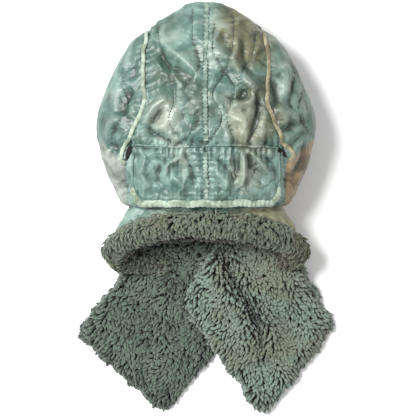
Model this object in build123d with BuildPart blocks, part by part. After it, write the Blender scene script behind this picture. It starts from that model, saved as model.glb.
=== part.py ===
"""Quilted trapper hat with a pile lining and two pile scarf ends, lying on its front.

+X is the wearer's right, +Y runs from the neck to the crown, +Z is up, out of the back of the hat.
The origin is on the surface that the hat lies on, at the middle of its outline. Millimetres.
"""

import os
from math import atan2, cos, degrees, radians, sin

from build123d import *

# Crown: a bulb, revolved about Y, flattened in Z and cut off where it rests
CROWN_TOP = 262.0
CROWN_HALF_WIDTH = 140.0
CROWN_HALF_HEIGHT = 62.0
CROWN_MIDDLE_Z = 54.0
CROWN_END_Y = 4.0
CROWN_OUTLINE = [(60, 236), (104, 195), (132, 138), (140, 100), (130, 52), (104, -4)]
CROWN_TAIL = (78, -60)
OUTLINE_STEPS = 24

# Cloth layers, as depths below the outer surface
SHELL = (0.0, 2.4)
WADDING = (2.7, 4.9)
LINING = (5.2, 12.5)
ON_TOP = (-1.8, -0.3)
SEAM_GAP = 0.4

# Lines on the pattern
CENTRE_TAPE_WIDTH = 6.0
SIDE_SEAM = [(70, 240), (79, 189), (77, 133), (86, 108), (97, 79), (101, 60), (101, -30)]
PIPING_WIDTH = 5.0
PIPING_TOP = 232.0
PIPING_FOOT = 61.0
GUSSET_LINE = [(200, 135), (90, 47), (70, 31)]
SLIT_LENGTH = 24.0
SLIT_WIDTH = 6.5
SLIT_CENTRE = (105.5, 70.0)
SLIT_LEAN = 14.0

# Gathered waist with its elastic, where the back flap hinges
WAIST_Y = 75.0
CASING = (-3.4, -0.3)
CASING_WIDTH = 9.0
CASING_HALF_LENGTH = 90.0
ELASTIC = (-2.5, -1.2)
ELASTIC_WIDTH = 6.0

# Back flap
FLAP_TOP_Y = 66.0
FLAP_HEIGHT = 62.0
FLAP_WIDTH = 188.0
FLAP_CORNER = 22.0
FLAP_SHELL = (-6.6, -4.4)
FLAP_WADDING = (-4.1, -2.6)
FLAP_BACKING = (-2.3, -1.0)
FLAP_BINDING = (-7.6, -0.9)
FLAP_TAPE = (-8.4, -6.9)
BINDING_WIDTH = 9.0

# Neck skirt: elliptical stations (y, half width, half height, middle z)
SKIRT_STATIONS = [
    (26, 109, 44, 54),
    (0, 98, 38, 52),
    (-24, 113, 42, 46),
    (-54, 122, 44, 44),
    (-120, 114, 42, 42),
]
SKIRT_TOP_Y = 22.0
HEM_BACK = (-44.0, 90.0)
HEM_FRONT = (-96.0, 0.0)
HEM_WIDTH = 25.0
HEM_FLEECE = (-5.0, 12.5)

# Face opening, in the side that the hat lies on
FACE_HALF_WIDTH = 58.0
FACE_TOP_Y = 112.0
FACE_BINDING = 1.6

# Scarf ends: plan outlines (x, y) of the two tapering bands, and where each folds
LEFT_BAND = [(-80, -26), (-164, -165), (-54, -264), (74, -100), (12, -79), (6, -18)]
RIGHT_BAND = [(16, -18), (96, -38), (164, -155), (74, -272), (-25, -127), (-4, -96), (15, -79)]
BAND_THICKNESS = 12.0
BAND_CORNER = 12.0
BAND_ROOT_Z = 20.0
BAND_SLOPE_Y = (-46.0, -76.0)
LEFT_FOLD = (2.0, -201.0)
RIGHT_FOLD = (13.0, -185.0)
LEFT_FOLD_ANGLE = -37.5
RIGHT_FOLD_ANGLE = 37.0
FOLD_GAP = 0.4
BAND_STEP = 1.5
WALL_CLEARANCE = 0.6

CEILING = 160.0
REACH = 400.0

made = {}
bodies = {}


def keep(name, part):
    """Writes one piece under its own name."""
    part.label = name
    export_step(part, f"parts/{name}.step")
    made[name] = part


def mirrored(points):
    """The points on the other side of the centre line, in drawing order."""
    return [(-x, y) for x, y in reversed(points)]


def crown_side(depth):
    """Points down one side of the crown's outline, a depth inside it."""
    with BuildLine() as side:
        Spline((0, CROWN_TOP), *CROWN_OUTLINE, CROWN_TAIL, tangents=[(1, 0), (-0.6, -1)])
    points = []
    for step in range(OUTLINE_STEPS + 1):
        spot = side.line @ (step / OUTLINE_STEPS)
        along = side.line % (step / OUTLINE_STEPS)
        points.append((max(spot.X + along.Y * depth, 0), spot.Y - along.X * depth))
    return points


def crown_body(depth):
    """The crown's solid bulb, its surface a depth below the outside of the hat."""
    side = crown_side(depth)
    with BuildPart() as bulb:
        with BuildSketch():
            with BuildLine():
                Spline(*side, tangents=[(1, 0), (-0.6, -1)])
                Polyline(side[-1], (0, side[-1][1]), side[0])
            make_face()
        revolve(axis=Axis.Y)
        scale(by=(1, 1, (CROWN_HALF_HEIGHT - depth) / (CROWN_HALF_WIDTH - depth)))
    with BuildPart() as cut:
        add(bulb.part.moved(Location((0, 0, CROWN_MIDDLE_Z))))
        with Locations((0, 0, max(depth, 0))):
            Box(REACH, 2 * REACH, CEILING, align=(Align.CENTER, Align.CENTER, Align.MIN), mode=Mode.INTERSECT)
    return cut.part


def skirt_body(depth):
    """The neck skirt's solid, lofted through its stations, a depth below the outside."""
    with BuildPart() as trunk:
        for y, half_width, half_height, middle in SKIRT_STATIONS:
            with BuildSketch(Plane(origin=(0, y, middle), x_dir=(1, 0, 0), z_dir=(0, -1, 0))):
                Ellipse(half_width - depth, half_height - depth)
        loft(ruled=True)
        with Locations((0, 0, max(depth, 0))):
            Box(REACH, 2 * REACH, CEILING, align=(Align.CENTER, Align.CENTER, Align.MIN), mode=Mode.INTERSECT)
    return trunk.part


def solid_of(body, depth):
    """A body at a depth, made once."""
    key = (body.__name__, depth)
    if key not in bodies:
        bodies[key] = body(depth)
    return bodies[key]


def layer(body, depths):
    """A cloth layer between two depths of a body."""
    with BuildPart() as cloth:
        add(solid_of(body, depths[0]))
        add(solid_of(body, depths[1]), mode=Mode.SUBTRACT)
    return cloth.part


def column(points, low=-20.0, high=CEILING):
    """The upright solid over a closed outline drawn in plan."""
    with BuildPart() as block:
        with BuildSketch(Plane.XY.offset(low)):
            with BuildLine():
                Polyline(*points, close=True)
            make_face()
        extrude(amount=high - low)
    return block.part


def slab(y_low, y_high, x_low=-REACH, x_high=REACH, low=-20.0, high=CEILING):
    """The upright solid over a rectangle in plan."""
    return column([(x_low, y_low), (x_high, y_low), (x_high, y_high), (x_low, y_high)], low, high)


def centre_strip(margin, y_low, low=-20.0, high=CEILING):
    """The solid over the strip between the two side seams, grown by a margin."""
    right = [(x + margin, y) for x, y in SIDE_SEAM]
    with BuildPart() as strip:
        with BuildSketch(Plane.XY.offset(low)):
            with BuildLine():
                Spline(*right)
                Line(right[-1], (-right[-1][0], right[-1][1]))
                Spline(*mirrored(right))
                Polyline((-right[0][0], right[0][1]), (-right[0][0], REACH), (right[0][0], REACH), right[0])
            make_face()
            with Locations((0, y_low)):
                Rectangle(REACH, 3 * REACH, align=(Align.CENTER, Align.MIN), mode=Mode.INTERSECT)
        extrude(amount=high - low)
    return strip.part


def face_slot(margin=0.0):
    """The solid that opens the front: a slot with a round top, from below."""
    half = FACE_HALF_WIDTH + margin
    with BuildPart() as slot:
        with BuildSketch(Plane.XY.offset(-20)):
            with Locations((0, FACE_TOP_Y - FACE_HALF_WIDTH)):
                Circle(half)
                Rectangle(2 * half, REACH, align=(Align.CENTER, Align.MAX))
        extrude(amount=20 + CROWN_MIDDLE_Z - 4)
    return slot.part


def hem_side(shift):
    """The solid above the slanting hem line, moved up the hat by a shift."""
    (back_y, back_z), (front_y, front_z) = HEM_BACK, HEM_FRONT
    lean = (back_y - front_y) / (back_z - front_z)
    points = [
        (front_y + shift - 20 * lean, -20),
        (front_y + shift + CEILING * lean, CEILING),
        (REACH, CEILING),
        (REACH, -20),
    ]
    with BuildPart() as side:
        with BuildSketch(Plane.YZ):
            with BuildLine():
                Polyline(*points, close=True)
            make_face()
        extrude(amount=REACH, both=True)
    return side.part


def shaped(cloth, inside=(), outside=()):
    """The part of a cloth layer that lies in every first solid and in none of the second."""
    with BuildPart() as piece:
        add(cloth)
        for solid in inside:
            add(solid, mode=Mode.INTERSECT)
        for solid in outside:
            add(solid, mode=Mode.SUBTRACT)
    return piece.part


def largest(cloth):
    """The biggest of a layer's solids, without the scraps that a cut leaves."""
    with BuildPart() as piece:
        add(cloth.solids().sort_by(SortBy.VOLUME)[-1])
    return piece.part


def slit(sign):
    """The narrow opening at the foot of a side seam."""
    with BuildPart() as hole:
        with BuildSketch(Plane.XY.offset(CROWN_MIDDLE_Z)):
            with Locations(Location((sign * SLIT_CENTRE[0], SLIT_CENTRE[1], 0), 90 + sign * SLIT_LEAN)):
                SlotOverall(SLIT_LENGTH, SLIT_WIDTH)
        extrude(amount=CEILING - CROWN_MIDDLE_Z)
    return hole.part


def half(sign, margin=SEAM_GAP / 2):
    """The solid on one side of the centre line."""
    low, high = sorted((sign * margin, sign * REACH))
    return slab(-REACH, REACH, low, high)


def seam_band(sign, width):
    """The solid over a side seam's line, as wide as its piping."""
    with BuildPart() as band:
        with BuildSketch(Plane.XY.offset(CROWN_MIDDLE_Z + 6)):
            with BuildLine():
                Spline(*[(sign * x, y) for x, y in SIDE_SEAM])
            trace(line_width=width)
        extrude(amount=CEILING)
    return band.part


def flap_outline(inset):
    """The solid over the back flap, its sides and foot drawn in by an inset."""
    with BuildPart() as block:
        with BuildSketch(Plane.XY.offset(CROWN_MIDDLE_Z)):
            with Locations((0, FLAP_TOP_Y)):
                Rectangle(FLAP_WIDTH - 2 * inset, FLAP_HEIGHT - inset, align=(Align.CENTER, Align.MAX))
            foot = vertices().group_by(Axis.Y)[0]
            fillet(foot, FLAP_CORNER - inset)
        extrude(amount=CEILING)
    return block.part


def crown():
    """The shell and wadding of the crown, its sides, gussets and nape."""
    opening = face_slot()
    above_end = slab(CROWN_END_Y, REACH)
    top_strip = centre_strip(SEAM_GAP, -REACH, CROWN_MIDDLE_Z)
    low_strip = centre_strip(SEAM_GAP, WAIST_Y, -20.0, CROWN_MIDDLE_Z)
    above_waist = centre_strip(0, WAIST_Y + SEAM_GAP / 2)
    below_waist = shaped(centre_strip(0, -REACH, CROWN_MIDDLE_Z), [slab(CROWN_END_Y, WAIST_Y - SEAM_GAP / 2)])
    for suffix, depths in (("panel", SHELL), ("wadding", WADDING)):
        cloth = layer(crown_body, depths)
        keep(f"nape_{suffix}", shaped(cloth, [below_waist]))
        for side, sign in (("left", -1), ("right", 1)):
            lower = column([(sign * x, y) for x, y in GUSSET_LINE] + [(sign * 70, -50), (sign * 200, -50)])
            upper = column([(sign * x, y + SEAM_GAP) for x, y in GUSSET_LINE] + [(0, REACH), (sign * 200, REACH)])
            flank = shaped(cloth, [half(sign, 40), above_end], [top_strip, low_strip, opening, slit(sign)])
            keep(f"crown_{suffix}_{side}", shaped(cloth, [above_waist, half(sign)], [opening]))
            keep(f"side_{suffix}_{side}", shaped(flank, [upper]))
            keep(f"gusset_{suffix}_{side}", shaped(flank, [lower]))


def crown_lining():
    """The pile lining of the crown, in three pieces like the shell."""
    cloth = shaped(layer(crown_body, LINING), [slab(SKIRT_TOP_Y + SEAM_GAP, REACH)], [face_slot()])
    keep("lining_centre", shaped(cloth, [centre_strip(-SEAM_GAP, -REACH)]))
    for side, sign in (("left", -1), ("right", 1)):
        keep(f"lining_side_{side}", shaped(cloth, [half(sign, 20)], [centre_strip(0, -REACH)]))


def trims():
    """The tapes that bind the crown's seams."""
    tape = layer(crown_body, ON_TOP)
    above_waist = slab(WAIST_Y + CASING_WIDTH / 2 + SEAM_GAP, REACH, low=CROWN_MIDDLE_Z)
    half_tape = CENTRE_TAPE_WIDTH / 2
    middle = slab(-REACH, REACH, -half_tape, half_tape)
    keep("centre_seam_tape", shaped(tape, [above_waist, middle]))
    length = slab(PIPING_FOOT, PIPING_TOP, low=CROWN_MIDDLE_Z)
    for side, sign in (("left", -1), ("right", 1)):
        keep(f"side_piping_{side}", shaped(tape, [seam_band(sign, PIPING_WIDTH), length]))


def waist():
    """The stitched casing across the nape and the elastic inside it."""
    reach = CASING_HALF_LENGTH
    half_casing, half_elastic = CASING_WIDTH / 2, ELASTIC_WIDTH / 2
    long_band = slab(WAIST_Y - half_casing, WAIST_Y + half_casing, -reach, reach, CROWN_MIDDLE_Z)
    tunnel = slab(WAIST_Y - half_elastic, WAIST_Y + half_elastic, -reach, reach, CROWN_MIDDLE_Z)
    room = 0.2
    space = slab(
        WAIST_Y - half_elastic - room, WAIST_Y + half_elastic + room, -reach - 1, reach + 1, CROWN_MIDDLE_Z
    )
    hollow = shaped(layer(crown_body, (ELASTIC[0] - room, ELASTIC[1] + room)), [space])
    keep("waist_casing", shaped(layer(crown_body, CASING), [long_band], [hollow]))
    keep("waist_elastic", shaped(layer(crown_body, ELASTIC), [tunnel]))


def back_flap():
    """The flap that hangs from the waist: two quilted halves, their tape and the binding."""
    field = flap_outline(BINDING_WIDTH + SEAM_GAP)
    for suffix, depths in (("panel", FLAP_SHELL), ("wadding", FLAP_WADDING)):
        cloth = shaped(layer(crown_body, depths), [field])
        for side, sign in (("left", -1), ("right", 1)):
            keep(f"flap_{suffix}_{side}", shaped(cloth, [half(sign)]))
    keep("flap_backing", shaped(layer(crown_body, FLAP_BACKING), [field]))
    rim = shaped(layer(crown_body, FLAP_BINDING), [flap_outline(0)], [flap_outline(BINDING_WIDTH)])
    keep("flap_binding", rim)
    half_tape = CENTRE_TAPE_WIDTH / 2
    middle = slab(-REACH, REACH, -half_tape, half_tape)
    keep("flap_seam_tape", shaped(layer(crown_body, FLAP_TAPE), [field, middle]))


def skirt():
    """The neck skirt, its wadding and lining, and the pile rolled over its hem."""
    opening = face_slot()
    above_hem = hem_side(HEM_WIDTH + SEAM_GAP)
    below_crown = slab(-REACH, SKIRT_TOP_Y)
    for suffix, depths in (("panel", SHELL), ("wadding", WADDING), ("lining", LINING)):
        cloth = shaped(layer(skirt_body, depths), [above_hem, below_crown], [opening])
        for side, sign in (("left", -1), ("right", 1)):
            keep(f"skirt_{suffix}_{side}", shaped(cloth, [half(sign)]))
    roll = shaped(layer(skirt_body, HEM_FLEECE), [hem_side(0), slab(-REACH, REACH, low=0)])
    roll = shaped(roll, [], [hem_side(HEM_WIDTH), opening])
    for side, sign in (("left", -1), ("right", 1)):
        keep(f"hem_fleece_{side}", shaped(roll, [half(sign)]))


def face_binding():
    """The tape that binds the round top and sides of the face opening."""
    wall = shaped(crown_body(SHELL[0]), [], [crown_body(LINING[1])])
    ring = shaped(face_slot(-SEAM_GAP), [], [face_slot(-SEAM_GAP - FACE_BINDING)])
    keep("face_binding", shaped(wall, [ring, slab(SKIRT_TOP_Y + 6, REACH)]))


def band_profile(low_z, floor_z):
    """The side view of a band: level over the hem, a slope, and level on what it lies on."""
    (start, end), thick = BAND_SLOPE_Y, BAND_THICKNESS
    lower = [(REACH, low_z), (start, low_z), (end, floor_z), (-REACH, floor_z)]
    upper = [(y, z + thick) for y, z in reversed(lower)]
    with BuildPart() as profile:
        with BuildSketch(Plane.YZ):
            with BuildLine():
                Polyline(*lower, *upper, close=True)
            make_face()
        extrude(amount=REACH, both=True)
    return profile.part


def band_outline(points, corners):
    """The solid over a band's outline, with its free corners rounded."""
    with BuildPart() as block:
        with BuildSketch(Plane.XY.offset(-1)):
            with BuildLine():
                Polyline(*points, close=True)
            make_face()
            free = [v for v in vertices() if (round(v.X), round(v.Y)) in corners]
            fillet(free, BAND_CORNER)
        extrude(amount=CEILING)
    return block.part


def beyond(point, angle, gap):
    """The half space past a fold line, on the right of the line's direction."""
    normal = (cos(radians(angle - 90)), sin(radians(angle - 90)))
    origin = (point[0] + gap * normal[0], point[1] + gap * normal[1], 0)
    with BuildPart() as space:
        with BuildSketch(Plane(origin=origin, x_dir=(normal[0], normal[1], 0), z_dir=(0, 0, 1)).offset(-1)):
            Rectangle(REACH, 2 * REACH, align=(Align.MIN, Align.CENTER))
        extrude(amount=CEILING)
    return space.part


def scarf():
    """The two scarf ends: each a root that stays with the hat and an end that folds."""
    wall = shaped(skirt_body(HEM_FLEECE[0] - WALL_CLEARANCE), [], [skirt_body(HEM_FLEECE[1] + WALL_CLEARANCE)])
    wall = shaped(wall, [hem_side(-WALL_CLEARANCE)], [face_slot(-WALL_CLEARANCE)])
    left = shaped(band_outline(LEFT_BAND, LEFT_BAND[1:3]), [band_profile(BAND_ROOT_Z, 0)], [wall])
    left_past = beyond(LEFT_FOLD, LEFT_FOLD_ANGLE, FOLD_GAP)
    keep("scarf_root_left", largest(shaped(left, [], [beyond(LEFT_FOLD, LEFT_FOLD_ANGLE, 0)])))
    keep("scarf_end_left", largest(shaped(left, [left_past])))
    top_z = BAND_THICKNESS + BAND_STEP
    plan = band_outline(RIGHT_BAND, RIGHT_BAND[2:4])
    over = shaped(plan, [band_profile(BAND_ROOT_Z, top_z)], [wall])
    beside = column([(14 + BAND_STEP, -181), (74 + BAND_STEP, -104), (300, -104), (300, -300), (14, -300)])
    thick = shaped(plan, [beside, slab(-REACH, BAND_SLOPE_Y[1] - 14, low=0, high=top_z + BAND_THICKNESS)])
    with BuildPart() as whole:
        add(over)
        add(thick)
    keep("scarf_root_right", largest(shaped(whole.part, [], [beyond(RIGHT_FOLD, RIGHT_FOLD_ANGLE, 0)])))
    keep("scarf_end_right", largest(shaped(whole.part, [beyond(RIGHT_FOLD, RIGHT_FOLD_ANGLE, FOLD_GAP)])))


def main():
    os.makedirs("parts", exist_ok=True)
    for make in (crown, crown_lining, trims, waist, back_flap, skirt, face_binding, scarf):
        make()
    for name, part in made.items():
        box = part.bounding_box()
        print(name, len(part.solids()), round(part.volume), [round(v, 1) for v in (*box.min, *box.max)])


main()
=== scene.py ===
"""Quilted trapper hat with a pile lining and two pile scarf ends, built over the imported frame.

Shapes are worked out in millimetres in the frame's own axes and written as meshes in metres.
"""

import bpy
import numpy as np
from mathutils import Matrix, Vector
from mathutils.bvhtree import BVHTree


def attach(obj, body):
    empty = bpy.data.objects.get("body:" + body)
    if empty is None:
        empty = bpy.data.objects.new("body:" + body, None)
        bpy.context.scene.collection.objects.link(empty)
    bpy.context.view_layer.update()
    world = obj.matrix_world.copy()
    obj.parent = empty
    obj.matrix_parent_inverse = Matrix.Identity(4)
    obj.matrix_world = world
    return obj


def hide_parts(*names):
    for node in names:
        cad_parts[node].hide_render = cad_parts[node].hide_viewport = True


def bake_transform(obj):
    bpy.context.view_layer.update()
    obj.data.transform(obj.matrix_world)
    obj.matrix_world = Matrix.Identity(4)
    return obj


bl_info = {
    "name": "Trapper Hat",
    "version": (1, 0, 0),
    "blender": (4, 5, 0),
    "location": "View3D > Sidebar > Trapper Hat",
    "description": "Builds a quilted trapper hat with pile scarf ends over its packed frame",
    "category": "Add Mesh",
}

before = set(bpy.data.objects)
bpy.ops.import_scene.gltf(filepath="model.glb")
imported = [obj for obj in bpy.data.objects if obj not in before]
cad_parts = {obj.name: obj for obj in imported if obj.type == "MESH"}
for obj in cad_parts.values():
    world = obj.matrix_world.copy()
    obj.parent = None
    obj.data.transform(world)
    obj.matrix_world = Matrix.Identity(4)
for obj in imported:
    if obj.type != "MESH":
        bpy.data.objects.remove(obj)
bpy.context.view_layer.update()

MM = 0.001
SIDES = (("left", -1), ("right", 1))
RIBBON_SIDES = 12

# Crown: outline of one side from apex to foot, height and middle, as in the frame
CROWN_SIDE = [
    (-60, 236), (0, 262), (60, 236), (104, 195), (132, 138), (140, 100), (130, 52), (104, -4), (78, -60),
]
CROWN_HALF_WIDTH = 140.0
CROWN_HALF_HEIGHT = 62.0
CROWN_MIDDLE_Z = 54.0
SIDE_SEAM = [
    (68, 270), (70, 240), (79, 189), (77, 133), (86, 108), (97, 79), (101, 60), (101, -10), (101, -60),
]
WAIST_Y = 75.0
FACE_HALF_WIDTH = 57
FACE_ARCH_Y = 54

# Piping and slits, in plan: how each piping's lower end curls in, mirrored on the left, and each slit's ends
PIPING_TAIL = {
    "left": [(99, 80), (105, 70), (106, 59), (101, 53)],
    "right": [(95, 80), (104, 73), (110, 64), (106, 58)],
}
SLIT_LINE = {"left": [(-94.5, 78), (-100, 57)], "right": [(88, 76), (101, 62)]}

# Neck skirt: stations of half width, half height and middle height along Y
SKIRT_Y = [-120, -78, -54, -24, 0, 26]
SKIRT_WIDTH = [114, 120, 122, 113, 98, 109]
SKIRT_HEIGHT = [42, 43, 44, 42, 38, 44]
SKIRT_MIDDLE = [42, 43, 44, 46, 52, 54]
HEM_Y = -98.0
HEM_LEAN = 60.0 / 90.0
HEM_SECTION = 20
HEM_TUFTS = 2700
LINING_TUFTS = 2600

# Back flap
FLAP_HALF_WIDTH = 94.0
FLAP_TOP = 73.0
FLAP_FOOT = -1.0
FLAP_CORNER = 24.0

# Scarf ends: outlines, and the fold line of each as a point and the way past it
LEFT_BAND = [(-66, -30), (-118, -106), (-163, -165), (-55, -262), (74, -100), (20, -50), (6, -24)]
RIGHT_BAND = [
    (16, -30), (60, -34), (98, -48), (126, -92), (163, -155), (74, -268), (-23, -127), (-8, -96), (10, -62),
]
LEFT_FOLD = ((2, -201, 12), (-0.609, -0.793))
RIGHT_FOLD = ((13, -185, 25.5), (0.602, -0.799))
RIGHT_CREASE = [(18, -52), (34, -92), (56, -128), (70, -160), (73, -182)]
# The edge where the right end comes down off the left one, and the ground past that edge
CROSSING = [(14, -181), (74, -104)]
PAST_CROSSING = [*CROSSING, (300, -104), (300, -400), (14, -400)]

# Broad folds of the crown and the flap: points, half width and height (down where negative), and their gain
CROWN_FOLD_GAIN = 1.8
FLAP_FOLD_GAIN = 2.5
CROWN_FOLDS = [
    ([(-64, 212), (-40, 192), (-18, 172), (-5, 160)], 9, 5.5),
    ([(-63, 208), (-56, 187), (-36, 170)], 8, -4.5),
    ([(-1, 187), (15, 191), (29, 184)], 6, 3.5),
    ([(1, 151), (14, 153), (28, 148)], 6, 3.5),
    ([(10, 172), (30, 166), (42, 158)], 7, -2.5),
    ([(44, 158), (57, 145), (56, 131), (34, 125)], 6, 5.5),
    ([(30, 136), (44, 138), (48, 146)], 5, -3.0),
    ([(64, 141), (66, 122), (60, 98)], 6, -5.0),
    ([(24, 222), (38, 202), (34, 182), (46, 163), (62, 148)], 7, 4.5),
    ([(46, 206), (48, 184), (58, 166)], 8, -3.5),
    ([(4, 200), (20, 222)], 6, 3.0),
    ([(-51, 134), (-66, 122), (-74, 106)], 6, 4.5),
    ([(-58, 118), (-70, 98), (-62, 88)], 5, -3.5),
    ([(-70, 92), (-52, 84), (-38, 78)], 5, -3.0),
    ([(-40, 80), (-22, 90), (-6, 97)], 5, 3.0),
    ([(-30, 128), (-28, 108), (-20, 96)], 7, -2.5),
    ([(-8, 132), (-34, 120)], 8, 3.0),
    ([(8, 122), (22, 104), (24, 88)], 7, -2.5),
    ([(30, 112), (46, 104), (50, 88)], 8, 4.0),
    ([(-94, 190), (-108, 160), (-112, 130)], 8, 3.5),
    ([(-86, 150), (-104, 128), (-96, 106)], 7, -3.5),
    ([(-90, 120), (-118, 104), (-126, 88)], 7, 3.0),
    ([(88, 176), (102, 168), (98, 140)], 7, 4.5),
    ([(82, 160), (90, 140), (84, 122)], 6, -4.5),
    ([(94, 120), (112, 112), (120, 92)], 8, 3.5),
    ([(88, 92), (104, 98), (122, 108)], 5, -3.5),
    ([(102, 60), (116, 78), (130, 84)], 8, 3.5),
    ([(104, 34), (118, 48), (128, 66)], 7, -3.5),
    ([(-106, 44), (-116, 62), (-130, 76)], 7, 3.0),
    ([(-100, 20), (-112, 40)], 7, -2.5),
]
FLAP_FOLDS = [
    ([(44, 70), (47, 52), (46, 26)], 3.6, 4.2),
    ([(36, 62), (37, 46), (34, 28)], 4.5, -2.6),
    ([(53, 70), (66, 56), (84, 38)], 4.0, 3.6),
    ([(56, 52), (64, 40), (70, 24)], 5.0, -2.6),
    ([(-52, 38), (-46, 52), (-34, 60)], 4.5, 3.6),
    ([(-58, 52), (-60, 36), (-54, 22)], 5.0, -2.2),
    ([(-26, 66), (-18, 46), (-14, 28)], 4.0, -2.2),
    ([(-38, 36), (-28, 24)], 5.0, 2.4),
    ([(10, 62), (24, 50), (34, 38)], 4.5, -2.0),
    ([(12, 44), (24, 30), (26, 20)], 5.5, 2.6),
    ([(-76, 60), (-80, 40), (-70, 24)], 5.0, 2.4),
    ([(74, 62), (84, 54)], 4.0, -1.8),
]
# Quilting lines, whose first point only steers the curve
QUILT_LINES = [
    [(0, 0), (-14, 250), (-17, 214), (-8, 176), (-26, 146), (-9, 110), (-30, 78)],
    [(0, 0), (-60, 232), (-56, 196), (-44, 166), (-40, 132), (-46, 106), (-30, 78)],
    [(0, 0), (30, 240), (34, 206), (26, 170), (36, 146), (26, 112), (36, 80)],
    [(0, 0), (60, 226), (58, 190), (42, 160), (62, 138), (66, 108), (52, 80)],
    [(0, 0), (14, 232), (8, 196), (22, 168), (8, 140), (20, 110), (4, 80)],
    [(0, 0), (-92, 196), (-104, 160), (-98, 124), (-118, 92), (-112, 70)],
    [(0, 0), (92, 196), (112, 168), (106, 132), (122, 100), (108, 74)],
    [(0, 0), (104, 182), (122, 152), (116, 118), (130, 92)],
]
FLAP_QUILT_LINES = [
    [(-26, 70), (-20, 46), (-12, 20)],
    [(4, 66), (30, 44), (34, 12)],
    [(-70, 66), (-52, 44), (-60, 14)],
    [(60, 68), (74, 46), (66, 14)],
]

# Stage, in metres and watts
CAMERA_PLACE = (0.0026, -0.002, 2.2)
CAMERA_LENS = 145.3
KEY_LIGHT = {"place": (-1.15, 0.6, 2.0), "size": 1.0, "power": 90}
FILL_LIGHT = {"place": (1.6, -0.6, 2.0), "size": 1.6, "power": 10}
LIGHTS_AIM = (0, 0, 0.03)
ROOM_LIGHT = 0.55


class Shade:
    """A shader socket that takes part in sums like a number."""

    def __init__(self, tree, socket=None):
        self.tree, self.socket = tree, socket

    def plug(self, target, value):
        """Feeds a socket from another one, or sets it to a constant."""
        if isinstance(value, Shade):
            self.tree.links.new(value.socket, target)
        else:
            target.default_value = value

    def make(self, kind, settings=(), output=0, **inputs):
        """Adds any node: its type, its settings, then its sockets by name or number."""
        node = self.tree.nodes.new(kind)
        for name, value in dict(settings).items():
            setattr(node, name, value)
        for name, value in inputs.items():
            key = int(name[1:]) if name[0] == "i" and name[1:].isdigit() else name.replace("_", " ")
            self.plug(node.inputs[key], value)
        return Shade(self.tree, node.outputs[output])

    def sum(self, operation, *values):
        """Adds one Math node."""
        inputs = {f"i{index}": value for index, value in enumerate(values)}
        return self.make("ShaderNodeMath", {"operation": operation}, **inputs)

    def __add__(self, other):
        return self.sum("ADD", self, other)

    def __sub__(self, other):
        return self.sum("SUBTRACT", self, other)

    def __rsub__(self, other):
        return self.sum("SUBTRACT", other, self)

    def __mul__(self, other):
        return self.sum("MULTIPLY", self, other)

    __radd__, __rmul__ = __add__, __mul__

    def step(self, low, high):
        """0 below low, 1 above high, and smooth between."""
        settings = {"interpolation_type": "SMOOTHSTEP"}
        return self.make("ShaderNodeMapRange", settings, Value=self, From_Min=low, From_Max=high)

    def mix(self, first, second):
        """The first colour where this is 0 and the second where it is 1."""
        settings = {"data_type": "RGBA"}
        return self.make("ShaderNodeMix", settings, output=2, i0=self, i6=first, i7=second)


def rgb(red, green, blue):
    """A linear colour from screen values of 0 to 255."""
    screen = (red, green, blue)
    return tuple(((c / 255 + 0.055) / 1.055) ** 2.4 if c > 10 else c / 3294.6 for c in screen) + (1.0,)


def dye(label, meaning, red, green, blue):
    """A colour that can be changed in the panel."""
    return bpy.props.FloatVectorProperty(
        name=label, description=meaning, default=rgb(red, green, blue), size=4,
        min=0.0, max=1.0, subtype="COLOR",
    )


class HatColours(bpy.types.PropertyGroup):
    """The colours of the nylon, the tapes and the pile."""

    teal: dye("Teal", "The nylon's main dye where it is pale", 112, 140, 131)
    teal_dark: dye("Dark Teal", "The nylon's main dye where it is dark", 68, 97, 90)
    khaki: dye("Khaki", "The nylon's khaki clouds where they are pale", 96, 96, 70)
    tan: dye("Tan", "The right gusset where it is pale", 138, 120, 88)
    grey: dye("Grey", "The left gusset where it is pale", 146, 150, 142)
    tape_left: dye("Left Tape", "The left piping and the flap's foot", 160, 174, 158)
    tape_right: dye("Right Tape", "The right piping", 150, 144, 118)
    pile_left: dye("Left Pile", "Tuft tips on the left scarf end", 86, 101, 87)
    pile_right: dye("Right Pile", "Tuft tips on the right scarf end", 114, 132, 119)
    pile_hem: dye("Hem Pile", "Tuft tips round the hem", 94, 105, 87)
    thread: dye("Thread", "Stitching on the seams and the quilting", 48, 60, 52)


def colours():
    """The hat's colours by name."""
    group = bpy.context.scene.hat_colours
    return {name: tuple(getattr(group, name)) for name in HatColours.__annotations__}


def new_material(name, roughness, sheen=0.0, specular=0.5):
    """An empty principled material and the pieces to wire it with."""
    material = bpy.data.materials.new(name)
    material.use_nodes = True
    tree = material.node_tree
    surface = tree.nodes["Principled BSDF"]
    surface.inputs["Roughness"].default_value = roughness
    surface.inputs["Sheen Weight"].default_value = sheen
    surface.inputs["Specular IOR Level"].default_value = specular
    start = Shade(tree)
    place = start.make("ShaderNodeTexCoord", output=3)
    return material, surface, start, place


def noise_of(place, scale, detail=3.0, rough=0.55, distort=0.0):
    """Cloudy noise over the object, about 0.5 on average."""
    return place.make(
        "ShaderNodeTexNoise", Vector=place, Scale=scale, Detail=detail, Roughness=rough, Distortion=distort
    )


def bumped(surface, start, height, depth, strength=1.0):
    """Gives the surface a fine relief, depth metres deep."""
    normal = start.make("ShaderNodeBump", Height=height, Distance=depth, Strength=strength)
    start.plug(surface.inputs["Normal"], normal)


def shading_and_wear_of(start):
    """The painted shading and wear that the mesh keeps: low in hollows and at tuft roots, high on ridges and
    tips.
    """
    return start.make("ShaderNodeAttribute", {"attribute_name": "wear"}, output=2)


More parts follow.
